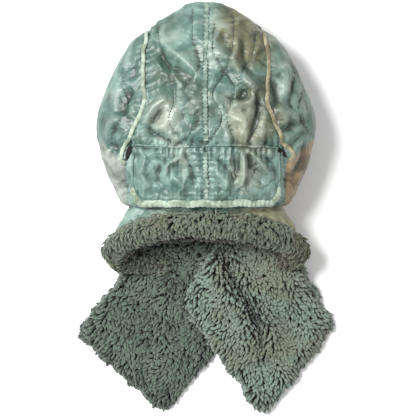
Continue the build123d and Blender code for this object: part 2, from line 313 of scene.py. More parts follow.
def nylon_material(name="nylon", gussets=False, skirt=False):
    """Satin nylon, dyed teal with khaki and tan clouds, with painted shade in its grooves and ridges paler
    from wear and a painted highlight.
    """
    material, surface, start, place = new_material(name, 0.42, 0.0, 0.6)
    dyes = colours()
    x = start.make("ShaderNodeSeparateXYZ", output=0, Vector=place)
    y = start.make("ShaderNodeSeparateXYZ", output=1, Vector=place)
    wear = shading_and_wear_of(start)
    cloud = noise_of(place, 11.0, 3.0, 0.6, 0.4)
    fine = noise_of(place, 36.0, 4.0, 0.6, 0.8)
    teal = fine.step(0.34, 0.68).mix(dyes["teal_dark"], dyes["teal"])
    deep = cloud.step(0.46, 0.62).mix(teal, rgb(58, 84, 74))
    khaki = fine.step(0.36, 0.62).mix(rgb(56, 60, 40), dyes["khaki"])
    spot_x, spot_y = x - 0.050, y - 0.215
    spot = start.sum("SQRT", spot_x * spot_x * 1.5 + spot_y * spot_y * 0.8)
    patch = 1.0 - (spot + (cloud - 0.5) * 0.1).step(0.026, 0.058)
    drift = (x * 3.2 + (cloud - 0.5) * 2.6 - 0.02).step(0.1, 0.6)
    zone = start.sum("MAXIMUM", patch, drift * 0.75)
    colour = zone.mix(deep, khaki)
    pale = noise_of(place, 17.0, 2.0, 0.5, 0.2).step(0.54, 0.7)
    colour = (pale * 0.55).mix(colour, rgb(158, 168, 154))
    for at_x, at_y, size in ((0.045, 0.104, 0.034), (0.05, 0.042, 0.03), (-0.052, 0.112, 0.03)):
        away_x, away_y = x - at_x, y - at_y
        away = start.sum("SQRT", away_x * away_x + away_y * away_y) + (fine - 0.5) * 0.03
        colour = ((1.0 - away.step(size * 0.1, size * 1.15)) * 0.55).mix(colour, rgb(160, 160, 142))
    tan = fine.step(0.35, 0.65).mix(rgb(78, 66, 44), dyes["tan"])
    grey = fine.step(0.35, 0.65).mix(rgb(98, 103, 96), dyes["grey"])
    if gussets:
        shade = (x * 6.0).step(-0.5, 0.6).mix(rgb(52, 82, 78), rgb(60, 64, 44))
        colour = start.make("ShaderNodeMix", {"data_type": "RGBA"}, output=2, i0=0.34, i6=colour, i7=shade)
        edge = (fine - 0.5) * 0.012
        colour = (x * 0.83 - y - 0.0275 + edge).step(-0.002, 0.004).mix(colour, tan)
        colour = ((x * -0.83 - y - 0.0275 + edge).step(-0.002, 0.004) * 0.85).mix(colour, grey)
    if skirt:
        mask = (x + (cloud - 0.5) * 0.05).step(0.025, 0.06)
        colour = mask.mix(colour, fine.mix(rgb(104, 102, 76), rgb(142, 140, 112)))
    # Painted shade: every hollow of the relief darkened towards near black.
    colour = ((1.0 - wear.step(0.0, 0.46)) * 0.85).mix(colour, rgb(34, 48, 40))
    # Ridges paler: partly wear, partly painted highlight.
    colour = (wear.step(0.6, 1.0) * 0.14).mix(colour, rgb(190, 202, 190))
    start.plug(surface.inputs["Base Color"], colour)
    start.plug(surface.inputs["Roughness"], fine * 0.16 + 0.36)
    broad = start.sum("ABSOLUTE", noise_of(place, 26.0, 2.0, 0.5, 0.8) - 0.5)
    small = start.sum("ABSOLUTE", noise_of(place, 70.0, 3.0, 0.55, 0.6) - 0.5)
    crease = 1.0 - broad - small * 0.26
    weave = start.make("ShaderNodeTexWave", {"wave_type": "BANDS"}, output=1, Vector=place, Scale=420.0)
    bumped(surface, start, crease + weave * 0.003, 0.012, 0.62)
    return material


def tape_material(name, light, dark, pitch=190.0):
    """Ribbed binding tape, worn between its ribs."""
    material, surface, start, place = new_material(name, 0.72, 0.2, 0.3)
    worn = noise_of(place, 70.0, 3.0, 0.6)
    colour = worn.step(0.36, 0.62).mix(dark, light)
    start.plug(surface.inputs["Base Color"], colour)
    ribs = start.make("ShaderNodeTexWave", {"wave_type": "BANDS", "bands_direction": "DIAGONAL"}, output=1,
                      Vector=place, Scale=pitch)
    bumped(surface, start, ribs * 0.4 + worn, 0.0006, 0.7)
    return material


def pile_material(name, tip, root, warm):
    """Matted pile: sage tufts with painted shade towards the root, and a warm brown cast in places."""
    material, surface, start, place = new_material(name, 0.9, 0.35, 0.2)
    cloud = noise_of(place, 14.0, 2.0, 0.5, 0.2)
    tuft = noise_of(place, 150.0, 2.0, 0.6)
    x = start.make("ShaderNodeSeparateXYZ", output=0, Vector=place)
    # Painted shade towards each tuft's root and in the gaps between tufts, from the shading attribute.
    colour = (shading_and_wear_of(start) + (tuft - 0.5) * 0.7).step(0.2, 0.85).mix(root, tip)
    tint = (cloud + x * 0.5).step(0.52, 0.7) * 0.7
    colour = tint.mix(colour, warm)
    start.plug(surface.inputs["Base Color"], colour)
    bumped(surface, start, noise_of(place, 700.0, 3.0, 0.7), 0.0008, 0.9)
    return material


def plain_material(name, colour, roughness=0.9):
    """Matt cloth or thread in one colour with a fine grain."""
    material, surface, start, place = new_material(name, roughness)
    grain = noise_of(place, 300.0, 2.0, 0.6)
    dark = tuple(c * 0.7 for c in colour[:3]) + (1.0,)
    start.plug(surface.inputs["Base Color"], grain.step(0.3, 0.7).mix(dark, colour))
    bumped(surface, start, grain, 0.0003, 0.5)
    return material


def floor_material():
    """Matt white with nothing on it."""
    surface = new_material("floor_white", 0.9)[1]
    surface.inputs["Base Color"].default_value = (0.9, 0.9, 0.9, 1)


def materials():
    """Every material by name, made once."""
    if "nylon" not in bpy.data.materials:
        dyes = colours()
        nylon_material()
        nylon_material("nylon_side", gussets=True)
        nylon_material("nylon_skirt", skirt=True)
        tape_material("binding_left", dyes["tape_left"], rgb(112, 126, 108))
        tape_material("binding_right", dyes["tape_right"], rgb(104, 98, 74))
        tape_material("binding_edge", rgb(112, 136, 126), rgb(76, 98, 88))
        tape_material("seam_tape", rgb(140, 158, 146), rgb(84, 104, 92), 240.0)
        pile_material("pile_left", dyes["pile_left"], rgb(28, 35, 28), rgb(80, 84, 66))
        pile_material("pile_right", dyes["pile_right"], rgb(36, 45, 37), rgb(104, 108, 88))
        pile_material("pile_hem", dyes["pile_hem"], rgb(26, 30, 22), rgb(84, 80, 58))
        # Near-black ground under the tufts: painted shade in the gaps between them.
        pile_material("pile_base", rgb(40, 44, 36), rgb(26, 28, 22), rgb(38, 34, 24))
        # The lining pile, painted darker than the same pile at the hem, as shade inside the hollow.
        pile_material("pile_inside", rgb(66, 66, 52), rgb(38, 38, 28), rgb(58, 50, 34))
        plain_material("thread", dyes["thread"])
        # A near-black patch painted as the shadow in each slit.
        plain_material("slit_dark", rgb(14, 12, 10))
        floor_material()
    return bpy.data.materials


def smooth(points, steps=24):
    """Points along the smooth curve through all but the first and last of the given ones."""
    p = np.array(points, float)
    out = []
    for a, b, c, d in zip(p[:-3], p[1:-2], p[2:-1], p[3:]):
        t = np.linspace(0, 1, steps, endpoint=False)[:, None]
        bend = 2 * a - 5 * b + 4 * c - d
        out.append(0.5 * (2 * b + (c - a) * t + bend * t**2 + (3 * b - a - 3 * c + d) * t**3))
    return np.vstack([*out, p[-2:-1]])


def through(points, steps=24):
    """The smooth curve through every given point."""
    p = [tuple(2 * np.array(points[0], float) - points[1]), *points]
    return smooth([*p, tuple(2 * np.array(points[-1], float) - points[-2])], steps)


def even(path, pitch):
    """A path resampled at an even pitch."""
    path = np.asarray(path, float)
    run = np.concatenate([[0], np.cumsum(np.linalg.norm(np.diff(path, axis=0), axis=1))])
    at = np.linspace(0, run[-1], max(int(run[-1] / pitch), 2) + 1)
    return np.stack([np.interp(at, run, path[:, k]) for k in range(path.shape[1])], 1)


def waves(x, y, size, seed, count=9):
    """Smooth noise, mostly from -1 to 1, about size millimetres across."""
    rng = np.random.default_rng(seed)
    total = np.zeros_like(x)
    for _ in range(count):
        angle, phase, k = rng.uniform(0, 2 * np.pi), rng.uniform(0, 2 * np.pi), rng.uniform(0.65, 1.5)
        total += np.sin(2 * np.pi * k / size * (x * np.cos(angle) + y * np.sin(angle)) + phase)
    return total / np.sqrt(count)


def unit(v):
    """Vectors of length 1 along the given ones."""
    return v / np.maximum(np.linalg.norm(v, axis=-1, keepdims=True), 1e-9)


def distance(x, y, path, closed=False):
    """Distance in plan from each point to a path, and how far along the path, 0 to 1."""
    path = np.asarray(path, float)
    if closed:
        path = np.vstack([path, path[:1]])
    p = np.stack([x, y], -1)
    best, along = np.full(x.shape, 1e9), np.zeros(x.shape)
    count = len(path) - 1
    for index in range(count):
        a, d = path[index], path[index + 1] - path[index]
        t = np.clip(((p - a) @ d) / max(d @ d, 1e-9), 0, 1)
        gap = np.linalg.norm(p - a - t[..., None] * d, axis=-1)
        near = gap < best
        best, along = np.where(near, gap, best), np.where(near, (index + t) / count, along)
    return best, along


def folds(x, y, strokes):
    """The height of a set of broad folds."""
    total = np.zeros_like(x)
    for points, width, height in strokes:
        gap, along = distance(x, y, through(points, 5))
        crest = 0.55 * np.exp(-((gap / width) ** 2)) + 0.45 * np.exp(-1.6 * np.sqrt(gap**2 + 0.6) / width)
        total += height * crest * np.sin(np.pi * (0.12 + 0.76 * along)) ** 0.8
    return total


OUTLINE = smooth(CROWN_SIDE, 60)
OUTLINE_NORMAL = unit(np.stack([-np.gradient(OUTLINE[:, 1]), np.gradient(OUTLINE[:, 0])], 1))
SEAM = through(SIDE_SEAM, 30)


def seam_x(y):
    """How far from the middle the side seam runs."""
    return np.interp(y, SEAM[::-1, 1], SEAM[::-1, 0])


def crown_side(depth):
    """The crown's half widths and their places along Y, at a depth below the outside."""
    side = OUTLINE - OUTLINE_NORMAL * depth
    return side[:, 0], side[:, 1]


def flatness(depth):
    """The crown's height over its width, at a depth below the outside."""
    return (CROWN_HALF_HEIGHT - depth) / (CROWN_HALF_WIDTH - depth)


def top_z(x, y, depth=0.0):
    """Height of the crown's back at a point in plan."""
    half, along = crown_side(depth)
    width = np.interp(y, along[::-1], half[::-1])
    return CROWN_MIDDLE_Z + flatness(depth) * np.sqrt(np.maximum(width**2 - np.asarray(x) ** 2, 4.0))


def on_top(path, depth=0.0):
    """A path in plan laid on the crown's back, with the surface's normals."""
    x, y = path[:, 0], path[:, 1]
    z = top_z(x, y, depth)
    dx = (top_z(x + 1, y, depth) - top_z(x - 1, y, depth)) / 2
    dy = (top_z(x, y + 1, depth) - top_z(x, y - 1, depth)) / 2
    return np.stack([x, y, z], 1), unit(np.stack([-dx, -dy, np.ones_like(x)], 1))


SURFACES = {}


def remember(name, points, faces):
    """Keeps a finished cloth, so that the trims can be laid on it."""
    polygons = [tuple(int(i) for i in face) for face in faces]
    SURFACES[name] = BVHTree.FromPolygons([Vector(p) for p in points], polygons)


def laid(name, path, lift=0.0, even_out=9):
    """A path in plan laid on a finished cloth, with its small bumps evened out, and the normals there."""
    place, normals = on_top(path)
    heights = []
    for x, y, z in place:
        hit = SURFACES[name].ray_cast(Vector((x, y, 300)), Vector((0, 0, -1)))[0]
        heights.append(z if hit is None else hit.z)
    heights = np.array(heights)
    kernel = np.ones(even_out) / even_out
    padded = np.pad(heights, even_out // 2, mode="edge")
    place[:, 2] = np.convolve(padded, kernel, "valid") * 0.7 + heights * 0.3
    return place + normals * lift, normals


def mesh_piece(name, points, faces, material, body, slot=None, shade=True, wear=None):
    """A mesh piece from millimetres, with its material, riding on a body unless that is None.

    Its shading and wear runs from 0 in grooves and at roots, which are painted in shade, to 1 on ridges and
    at tips, which are painted paler.
    """
    mesh = bpy.data.meshes.new(name)
    mesh.from_pydata((np.asarray(points) * MM).tolist(), [], [list(map(int, f)) for f in faces])
    values = np.full(len(points), 0.5) if wear is None else np.clip(wear, 0, 1)
    mesh.attributes.new("wear", "FLOAT", "POINT").data.foreach_set("value", values.astype(np.float32))
    mesh.validate()
    mesh.materials.append(materials()[material])
    mesh.polygons.foreach_set("use_smooth", [shade] * len(mesh.polygons))
    piece = bpy.data.objects.new(name, mesh)
    bpy.context.scene.collection.objects.link(piece)
    if body:
        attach(piece, body)
    return piece


def grid_faces(rows, columns, wrap=False, start=0):
    """Quads over a grid of points."""
    r, c = np.meshgrid(np.arange(rows - 1), np.arange(columns if wrap else columns - 1), indexing="ij")
    r, c = r.ravel(), c.ravel()
    n = (c + 1) % columns
    corners = [r * columns + c, r * columns + n, (r + 1) * columns + n, (r + 1) * columns + c]
    return np.stack(corners, 1) + start


def closed_pad(top, bottom):
    """Points and faces of a closed pad between two grids of the same size."""
    rows, columns = top.shape[:2]
    points = np.vstack([top.reshape(-1, 3), bottom.reshape(-1, 3)])
    upper = grid_faces(rows, columns)[:, ::-1]
    lower = grid_faces(rows, columns, start=rows * columns)
    edge = [*range(columns), *(r * columns + columns - 1 for r in range(1, rows))]
    edge += [(rows - 1) * columns + c for c in range(columns - 2, -1, -1)]
    edge += [r * columns for r in range(rows - 2, 0, -1)]
    edge = np.array(edge)
    after = np.roll(edge, -1)
    rim = np.stack([edge, after, after + rows * columns, edge + rows * columns], 1)
    return points, np.vstack([upper, lower, rim])


def ribbon(path, normals, width, thickness, pitch=0.0, ribs=0.0, round_to=2.6):
    """A tape of rounded section along a path, with small gathers across it."""
    along = unit(np.gradient(path, axis=0))
    across = unit(np.cross(along, normals))
    up = np.cross(across, along)
    run = np.concatenate([[0], np.cumsum(np.linalg.norm(np.diff(path, axis=0), axis=1))])
    swell = np.ones_like(run)
    if pitch:
        swell = 1 + ribs * np.sin(2 * np.pi * run / pitch + 1.7 * np.sin(run / (2.3 * pitch)))
    turn = np.linspace(0, 2 * np.pi, RIBBON_SIDES, endpoint=False)
    c, s = np.cos(turn), np.sin(turn)
    a = np.sign(c) * np.abs(c) ** (2 / round_to)
    b = np.sign(s) * np.abs(s) ** (2 / round_to)
    edge = 1 + 0.25 * (swell - 1)
    gathers = (b[None, :, None] > 0) * (swell[:, None, None] - 1)
    points = (
        path[:, None]
        + across[:, None] * (a[None, :, None] * width / 2 * edge[:, None, None])
        + up[:, None] * ((b[None, :, None] + gathers) * thickness / 2)
    )
    count = len(path)
    faces = [list(f) for f in grid_faces(count, RIBBON_SIDES, True)]
    faces += [list(range(RIBBON_SIDES))[::-1], list(range((count - 1) * RIBBON_SIDES, count * RIBBON_SIDES))]
    return points.reshape(-1, 3), faces


def stitches(path, normals, length=3.0, gap=1.4, width=0.7, lift=0.3):
    """Short raised threads along a path."""
    step = even(np.hstack([path, normals]), (length + gap) / 4)
    points, faces = [], []
    for i in range(0, len(step) - 4, 4):
        a, b = step[i, :3], step[i + 3, :3]
        up = unit(step[i, 3:])
        along = unit(b - a)
        side = np.cross(along, up) * width / 2
        mid = (a + b) / 2 + up * (lift + width / 2)
        k = len(points)
        points += [a - side, a + side, mid + side, mid - side, b - side, b + side, a - up * 0.3, b - up * 0.3]
        faces += [[k, k + 1, k + 2, k + 3], [k + 3, k + 2, k + 5, k + 4], [k, k + 3, k + 4, k + 7, k + 6]]
        faces += [[k + 1, k + 6, k + 7, k + 5, k + 2], [k, k + 6, k + 1], [k + 4, k + 5, k + 7]]
    return np.array(points), faces


def seam_tape(name, path, normals, body, rows_apart):
    """A tape over a seam, with two rows of stitches."""
    points, faces = ribbon(path, normals, 6.6, 2.4, 6.0, 0.3)
    tape = mesh_piece(f"{name}_tape_cloth", points, faces, "seam_tape", body, "binding_tape")
    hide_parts(f"{name}_tape")
    rows = [path + (off, 0, 0.75) for off in (-rows_apart / 2, rows_apart / 2)]
    lots = [stitches(row, normals, 2.6, 1.6, 0.7) for row in rows]
    mesh_piece(f"{name}_stitches", *joined(lots), "thread", body, "binding_tape", False)


def joined(parts):
    """Several lots of points and faces as one."""
    points, faces, start = [], [], 0
    for p, f in parts:
        points.append(p)
        faces += [[int(i) + start for i in face] for face in f]
        start += len(p)
    return np.vstack(points), faces


def tuft_shading(count, rings, sides=5, light=1.0, seed=7):
    """The painted shading of a lot of tufts: painted shade at the roots and lighter tips, some lighter than
    others.
    """
    own = np.random.default_rng(seed).uniform(0.75, 1.15, count) * light
    return (own[:, None, None] * np.linspace(0.0, 1.0, rings)[None, :, None] * np.ones(sides)).ravel()


def tufts(spots, normals, leans, lengths, width, sides=5, rings=5, curl=1.9):
    """Curled locks of pile, one at each spot, leaning over as they grow."""
    count = len(spots)
    t = np.linspace(0, 1, rings)[None, :, None]
    length = np.asarray(lengths)[:, None, None]
    rise = length * np.sin(t * curl) / curl * 1.25
    over = length * (1 - np.cos(t * curl)) / curl * 0.95
    side = unit(np.cross(normals, leans))
    line = spots[:, None] + normals[:, None] * rise + leans[:, None] * over
    tangent = unit(np.gradient(line, axis=1))
    flank = np.broadcast_to(side[:, None], tangent.shape)
    other = np.cross(tangent, flank)
    profile = [0.55, 0.95, 1.0, 0.8, 0.3] if rings == 5 else [0.6, 1.0, 0.9, 0.35]
    radius = width[:, None, None] / 2 * np.array(profile)[None, :, None]
    turn = np.linspace(0, 2 * np.pi, sides, endpoint=False)
    ring = (
        flank[:, :, None] * np.cos(turn)[:, None]
        + other[:, :, None] * (np.sin(turn)[:, None] * 0.72)
    )
    points = line[:, :, None] + ring * radius[:, :, None]
    base = (np.arange(count) * rings * sides)[:, None, None]
    quads = (grid_faces(rings, sides, True)[None] + base).reshape(-1, 4)
    tip = base[:, 0] + (rings - 1) * sides + np.arange(sides)[None]
    return points.reshape(-1, 3), [*quads.tolist(), *tip.tolist()]


def inside(x, y, outline):
    """Which points lie inside an outline."""
    hit = np.zeros(x.shape, bool)
    for (ax, ay), (bx, by) in zip(outline, np.roll(outline, -1, axis=0)):
        crosses = (ay > y) != (by > y)
        with np.errstate(divide="ignore", invalid="ignore"):
            hit ^= crosses & (x < (bx - ax) * (y - ay) / (by - ay) + ax)
    return hit


def simulated(piece, held, grow, pressure, frames, cap, stiff=9.0):
    """The piece's points after its cloth settles: slack fabric, pinned by held and blown out a little."""
    rest = np.array([v.co for v in piece.data.vertices])
    scene = bpy.context.scene
    group = piece.vertex_groups.new(name="held")
    for weight in np.unique(np.round(held, 2)):
        group.add([int(i) for i in np.nonzero(np.round(held, 2) == weight)[0]], float(weight), "REPLACE")
    cloth = piece.modifiers.new("Cloth", "CLOTH")
    cloth.settings.quality = 4
    cloth.settings.mass = 0.12
    cloth.settings.tension_stiffness = stiff
    cloth.settings.compression_stiffness = stiff
    cloth.settings.shear_stiffness = stiff / 2
    cloth.settings.bending_stiffness = 0.08
    cloth.settings.air_damping = 3.0
    cloth.settings.vertex_group_mass = "held"
    cloth.settings.pin_stiffness = 1.0
    cloth.settings.shrink_min = -grow
    cloth.settings.use_pressure = True
    cloth.settings.uniform_pressure_force = pressure
    cloth.settings.effector_weights.gravity = 0.0
    cloth.collision_settings.use_collision = False
    cloth.point_cache.frame_start, cloth.point_cache.frame_end = 1, frames
    for number in range(1, frames + 1):
        scene.frame_set(number)
    seen = piece.evaluated_get(bpy.context.evaluated_depsgraph_get())
    moved = np.array([v.co for v in seen.data.vertices])
    piece.modifiers.remove(cloth)
    scene.frame_set(1)
    shift = (moved - rest) / MM
    size = np.linalg.norm(shift, axis=1, keepdims=True)
    if not np.isfinite(shift).all():
        raise RuntimeError(f"the cloth of {piece.name} didn't settle")
    return rest / MM + shift * np.minimum(1, cap / np.maximum(size, 1e-6))


def set_points(piece, points):
    """Moves a piece's points to places in millimetres."""
    piece.data.vertices.foreach_set("co", (np.asarray(points) * MM).astype(np.float32).ravel())
    piece.data.update()


def split_off(name, points, faces, wanted, material, body, slot, wear=None):
    """A piece made of the wanted faces only, with the points that they use."""
    faces = faces[wanted]
    used, index = np.unique(faces, return_inverse=True)
    kept = None if wear is None else wear[used]
    return mesh_piece(name, points[used], index.reshape(faces.shape), material, body, slot, wear=kept)


def crown_columns(centre, flank, under):
    """Column places across the crown: 0 at the middle of the back, 1 and 2 at the side seam, 3 underneath."""
    back = np.linspace(0, 1, centre + 1)
    side = 1 + np.linspace(0, 1, flank + 1)[1:]
    front = 2 + np.linspace(0, 1, under + 1)[1:]
    half = np.concatenate([back, side, front])
    return np.concatenate([-half[:0:-1], half])


def crown_grid(rows, columns, depth=0.0, foot=-4.0):
    """Points of the crown at a depth, their turn about Y, and their arc from the middle."""
    half, along = crown_side(depth)
    run = np.concatenate([[0], np.cumsum(np.hypot(np.diff(half), np.diff(along)))])
    end = np.interp(-foot, -along, run)
    at = np.linspace(1.2, end, rows)
    width, y = np.interp(at, run, half), np.interp(at, run, along)
    seam = np.arccos(np.clip(seam_x(y) / np.maximum(width, 1e-6), 0, 1))[:, None]
    c = np.abs(columns)[None]
    back = np.pi / 2 + (seam - np.pi / 2) * c
    front = -seam + (seam - np.pi / 2) * (c - 2)
    turn = np.where(c <= 1, back, np.where(c <= 2, seam * (3 - 2 * c), front))
    sign = np.sign(columns)[None]
    x = width[:, None] * np.cos(turn) * sign
    z = CROWN_MIDDLE_Z + flatness(depth) * width[:, None] * np.sin(turn)
    y = np.broadcast_to(y[:, None], x.shape)
    return np.stack([x, y, z], -1), turn, sign * width[:, None] * (np.pi / 2 - turn)


def grid_normals(points):
    """Outward normals over a grid whose columns go from left to right over the back."""
    n = np.cross(np.gradient(points, axis=0), np.gradient(points, axis=1))
    n = unit(n)
    middle = np.array([0, 90, CROWN_MIDDLE_Z])
    if ((n * (points - middle)).sum(-1) > 0).mean() < 0.5:
        n = -n
    return n


def quilt_paths():
    """The crown's quilting lines as curves."""
    return [smooth([*line, tuple(2 * np.array(line[-1]) - line[-2])], 12)[6:] for line in QUILT_LINES]


def worn(relief):
    """Painted shading and wear of a cloth from its relief: how far each point stands above its neighbours,
    giving painted shade in its hollows and paler ridges.
    """
    around = relief.copy()
    for _ in range(10):
        spread = np.pad(around, 1, mode="edge")
        around = (spread[:-2, 1:-1] + spread[2:, 1:-1] + spread[1:-1, :-2] + spread[1:-1, 2:] + around) / 5
    return 0.5 + (relief - around) / 3.6


def crown_relief(x, y, arc, upper):
    """How far the crown's cloth stands out: drawn-in seams, puckers, quilting, folds and crumples."""
    size = np.abs(x)
    centre, seam, waist = size, np.abs(size - seam_x(y)) * 0.97, np.abs(y - WAIST_Y)
    total = np.zeros_like(x)
    for gap, along, seed in ((centre, y, 3), (seam + 1.0, y + 0.4 * size, 5)):
        wobble = waves(along, np.sign(x) * 40 + 0 * y, 26, seed)
        pucker = np.sin(2 * np.pi * along / 7.5 + 2.2 * wobble + np.sign(x))
        total += pucker * 1.15 * np.exp(-gap / 11) * np.clip(gap / 3, 0, 1)
        total -= 2.2 * np.exp(-((gap / 4.5) ** 2))
    gather = np.sin(2 * np.pi * x / 8.5 + 2.4 * waves(x, y * 0.2, 40, 7))
    gather = gather * 1.5 * np.exp(-waist / 13) * np.clip(waist / 3, 0.25, 1)
    total += gather - 3.6 * np.exp(-((waist / 8) ** 2))
    for number, path in enumerate(quilt_paths()):
        gap, along = distance(x, y, path)
        ripple = np.sin(2 * np.pi * along * 28 + 2.0 * waves(x, y, 24, number + 20))
        ripple = ripple * 0.8 * np.exp(-gap / 6) * np.clip(gap / 2, 0, 1)
        total += (ripple - 1.9 * np.exp(-((gap / 2.6) ** 2))) * (upper > 0.1)
    total += CROWN_FOLD_GAIN * folds(x, y, CROWN_FOLDS) * np.clip(upper * 3, 0, 1)
    ridge = 1 - np.abs(waves(arc, y, 62, 31)) ** 0.8 * 1.4
    total += 1.7 * ridge * np.clip(centre / 14, 0, 1) + 0.5 * waves(arc, y, 26, 32)
    dome = np.clip((70 - np.abs(x)) / 16, 0, 1) * np.clip((y - 170) / 50, 0, 1)
    total = (total + 1.5 * dome) * np.clip(0.3 + 1.3 * np.abs(upper), 0.3, 1)
    shoulder = np.clip((y - 196) / 18, 0, 1)
    out = np.exp(-(((size - seam_x(y) - 15) / 9) ** 2)) * np.clip((y - 180) / 20, 0, 1)
    return total - 1.8 * np.exp(-((seam / 6) ** 2)) * shoulder + 2.4 * out


class HatCloth(bpy.types.PropertyGroup):
    """How the nylon and its padding are made."""

    rows: bpy.props.IntProperty(
        name="Rows", description="Rows of the crown's mesh from apex to foot", default=132, min=20
    )
    grow: bpy.props.FloatProperty(
        name="Slack", description="Spare cloth, as a share of its length", default=0.05, min=0.0, max=0.3,
        subtype="FACTOR",
    )
    pressure: bpy.props.FloatProperty(
        name="Pressure", description="How hard the padding pushes the cloth out", default=1.0, min=0.0
    )
    frames: bpy.props.IntProperty(
        name="Frames", description="Steps in which the cloth settles", default=14, min=2
    )


class HatPile(bpy.types.PropertyGroup):
    """How long, thick and close the pile is."""

    length: bpy.props.FloatProperty(
        name="Length", description="Length of a lock of pile, in millimetres", default=9.0, min=1.0
    )
    width: bpy.props.FloatProperty(
        name="Width", description="Width of a lock of pile, in millimetres", default=4.4, min=0.5
    )
    spacing: bpy.props.FloatProperty(
        name="Spacing", description="Distance between locks of pile, in millimetres", default=3.8, min=1.0
    )


class HAT_OT_crown(bpy.types.Operator):
    """Builds the crown's padded panels, sides, gussets and nape"""

    bl_idname = "hat.crown"
    bl_label = "Crown"

    def execute(self, context):
        cloth = context.scene.hat_cloth
        columns = crown_columns(42, 46, 22)
        base, turn, arc = crown_grid(cloth.rows, columns)
        x, y = base[..., 0], base[..., 1]
        upper = np.sin(turn)
        normals = grid_normals(base)
        relief = crown_relief(x, y, arc, upper)
        # Painted shade in the relief's hollows, and ridges paler partly from wear and partly as painted
        # highlight.
        wear = worn(relief).ravel()
        relief = np.where(upper < -0.35, relief * 0.3 - 0.5, relief)
        relief -= 9.0 * np.clip((8 - y) / 12, 0, 1) ** 2
        points = base + normals * relief[..., None]
        points[..., 2] = np.maximum(points[..., 2], 0.4)
        rows, wide = x.shape
        faces = grid_faces(rows, wide)[:, ::-1]
        held = self.pins(x, y, upper, rows)
        whole = mesh_piece("crown_whole", points.reshape(-1, 3), faces, "nylon", None)
        points = simulated(whole, held.ravel(), cloth.grow, cloth.pressure, cloth.frames, 6.0)
        bpy.data.objects.remove(whole)
        points[:, 2] = np.maximum(points[:, 2], 0.3)
        remember("crown", points, faces)
        place = base.reshape(-1, 3)[faces].mean(1)
        column = np.abs(columns[faces % wide]).mean(1)
        along, up = place[:, 1], place[:, 2]
        slot = (up < CROWN_MIDDLE_Z - 4) & (np.abs(place[:, 0]) < 58)
        slot &= (along < 54) | (np.hypot(place[:, 0], along - 54) < 58)
        flank = (column > 1) & (column < 2)
        below = along < 0.8235 * np.abs(place[:, 0]) - 27.1
        for side, sign in SIDES:
            mine = (place[:, 0] * sign > 0) & ~slot
            panel = mine & ~flank & (along > WAIST_Y)
            rest = mine & (flank | ((column >= 2) & (along <= WAIST_Y)))
            for kind, wanted, material, dyed, fill in (
                ("crown", panel, "nylon", "nylon_teal", 0.5),
                ("side", rest & ~below, "nylon_side", "nylon_teal", 0.5),
                ("gusset", rest & below, "nylon_side", "nylon_tan", 0.4),
            ):
                made = split_off(f"{kind}_{side}", points, faces, wanted, material, "hat", dyed, wear)
                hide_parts(f"{kind}_panel_{side}", f"{kind}_wadding_{side}")
        nape = ~slot & (column < 1) & (along <= WAIST_Y)
        made = split_off("nape", points, faces, nape, "nylon", "hat", "nylon_teal", wear)
        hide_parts("nape_panel", "nape_wadding")
        return {"FINISHED"}

    def pins(self, x, y, upper, rows):
        """1 on seams, quilting and the foot, less on the underside, 0 in the middle of a pad."""
        size = np.abs(x)
        held = np.zeros_like(x)
        for gap in (size, np.abs(size - seam_x(y)), np.abs(y - WAIST_Y)):
            held = np.maximum(held, np.exp(-((gap / 2.4) ** 2)))
        for path in quilt_paths():
            held = np.maximum(held, 0.9 * np.exp(-((distance(x, y, path)[0] / 2.0) ** 2)) * (upper > 0.1))
        held[upper < -0.3] = 1
        held[:2], held[-2:] = 1, 1
        return np.round(np.clip(held, 0, 1) * 10) / 10


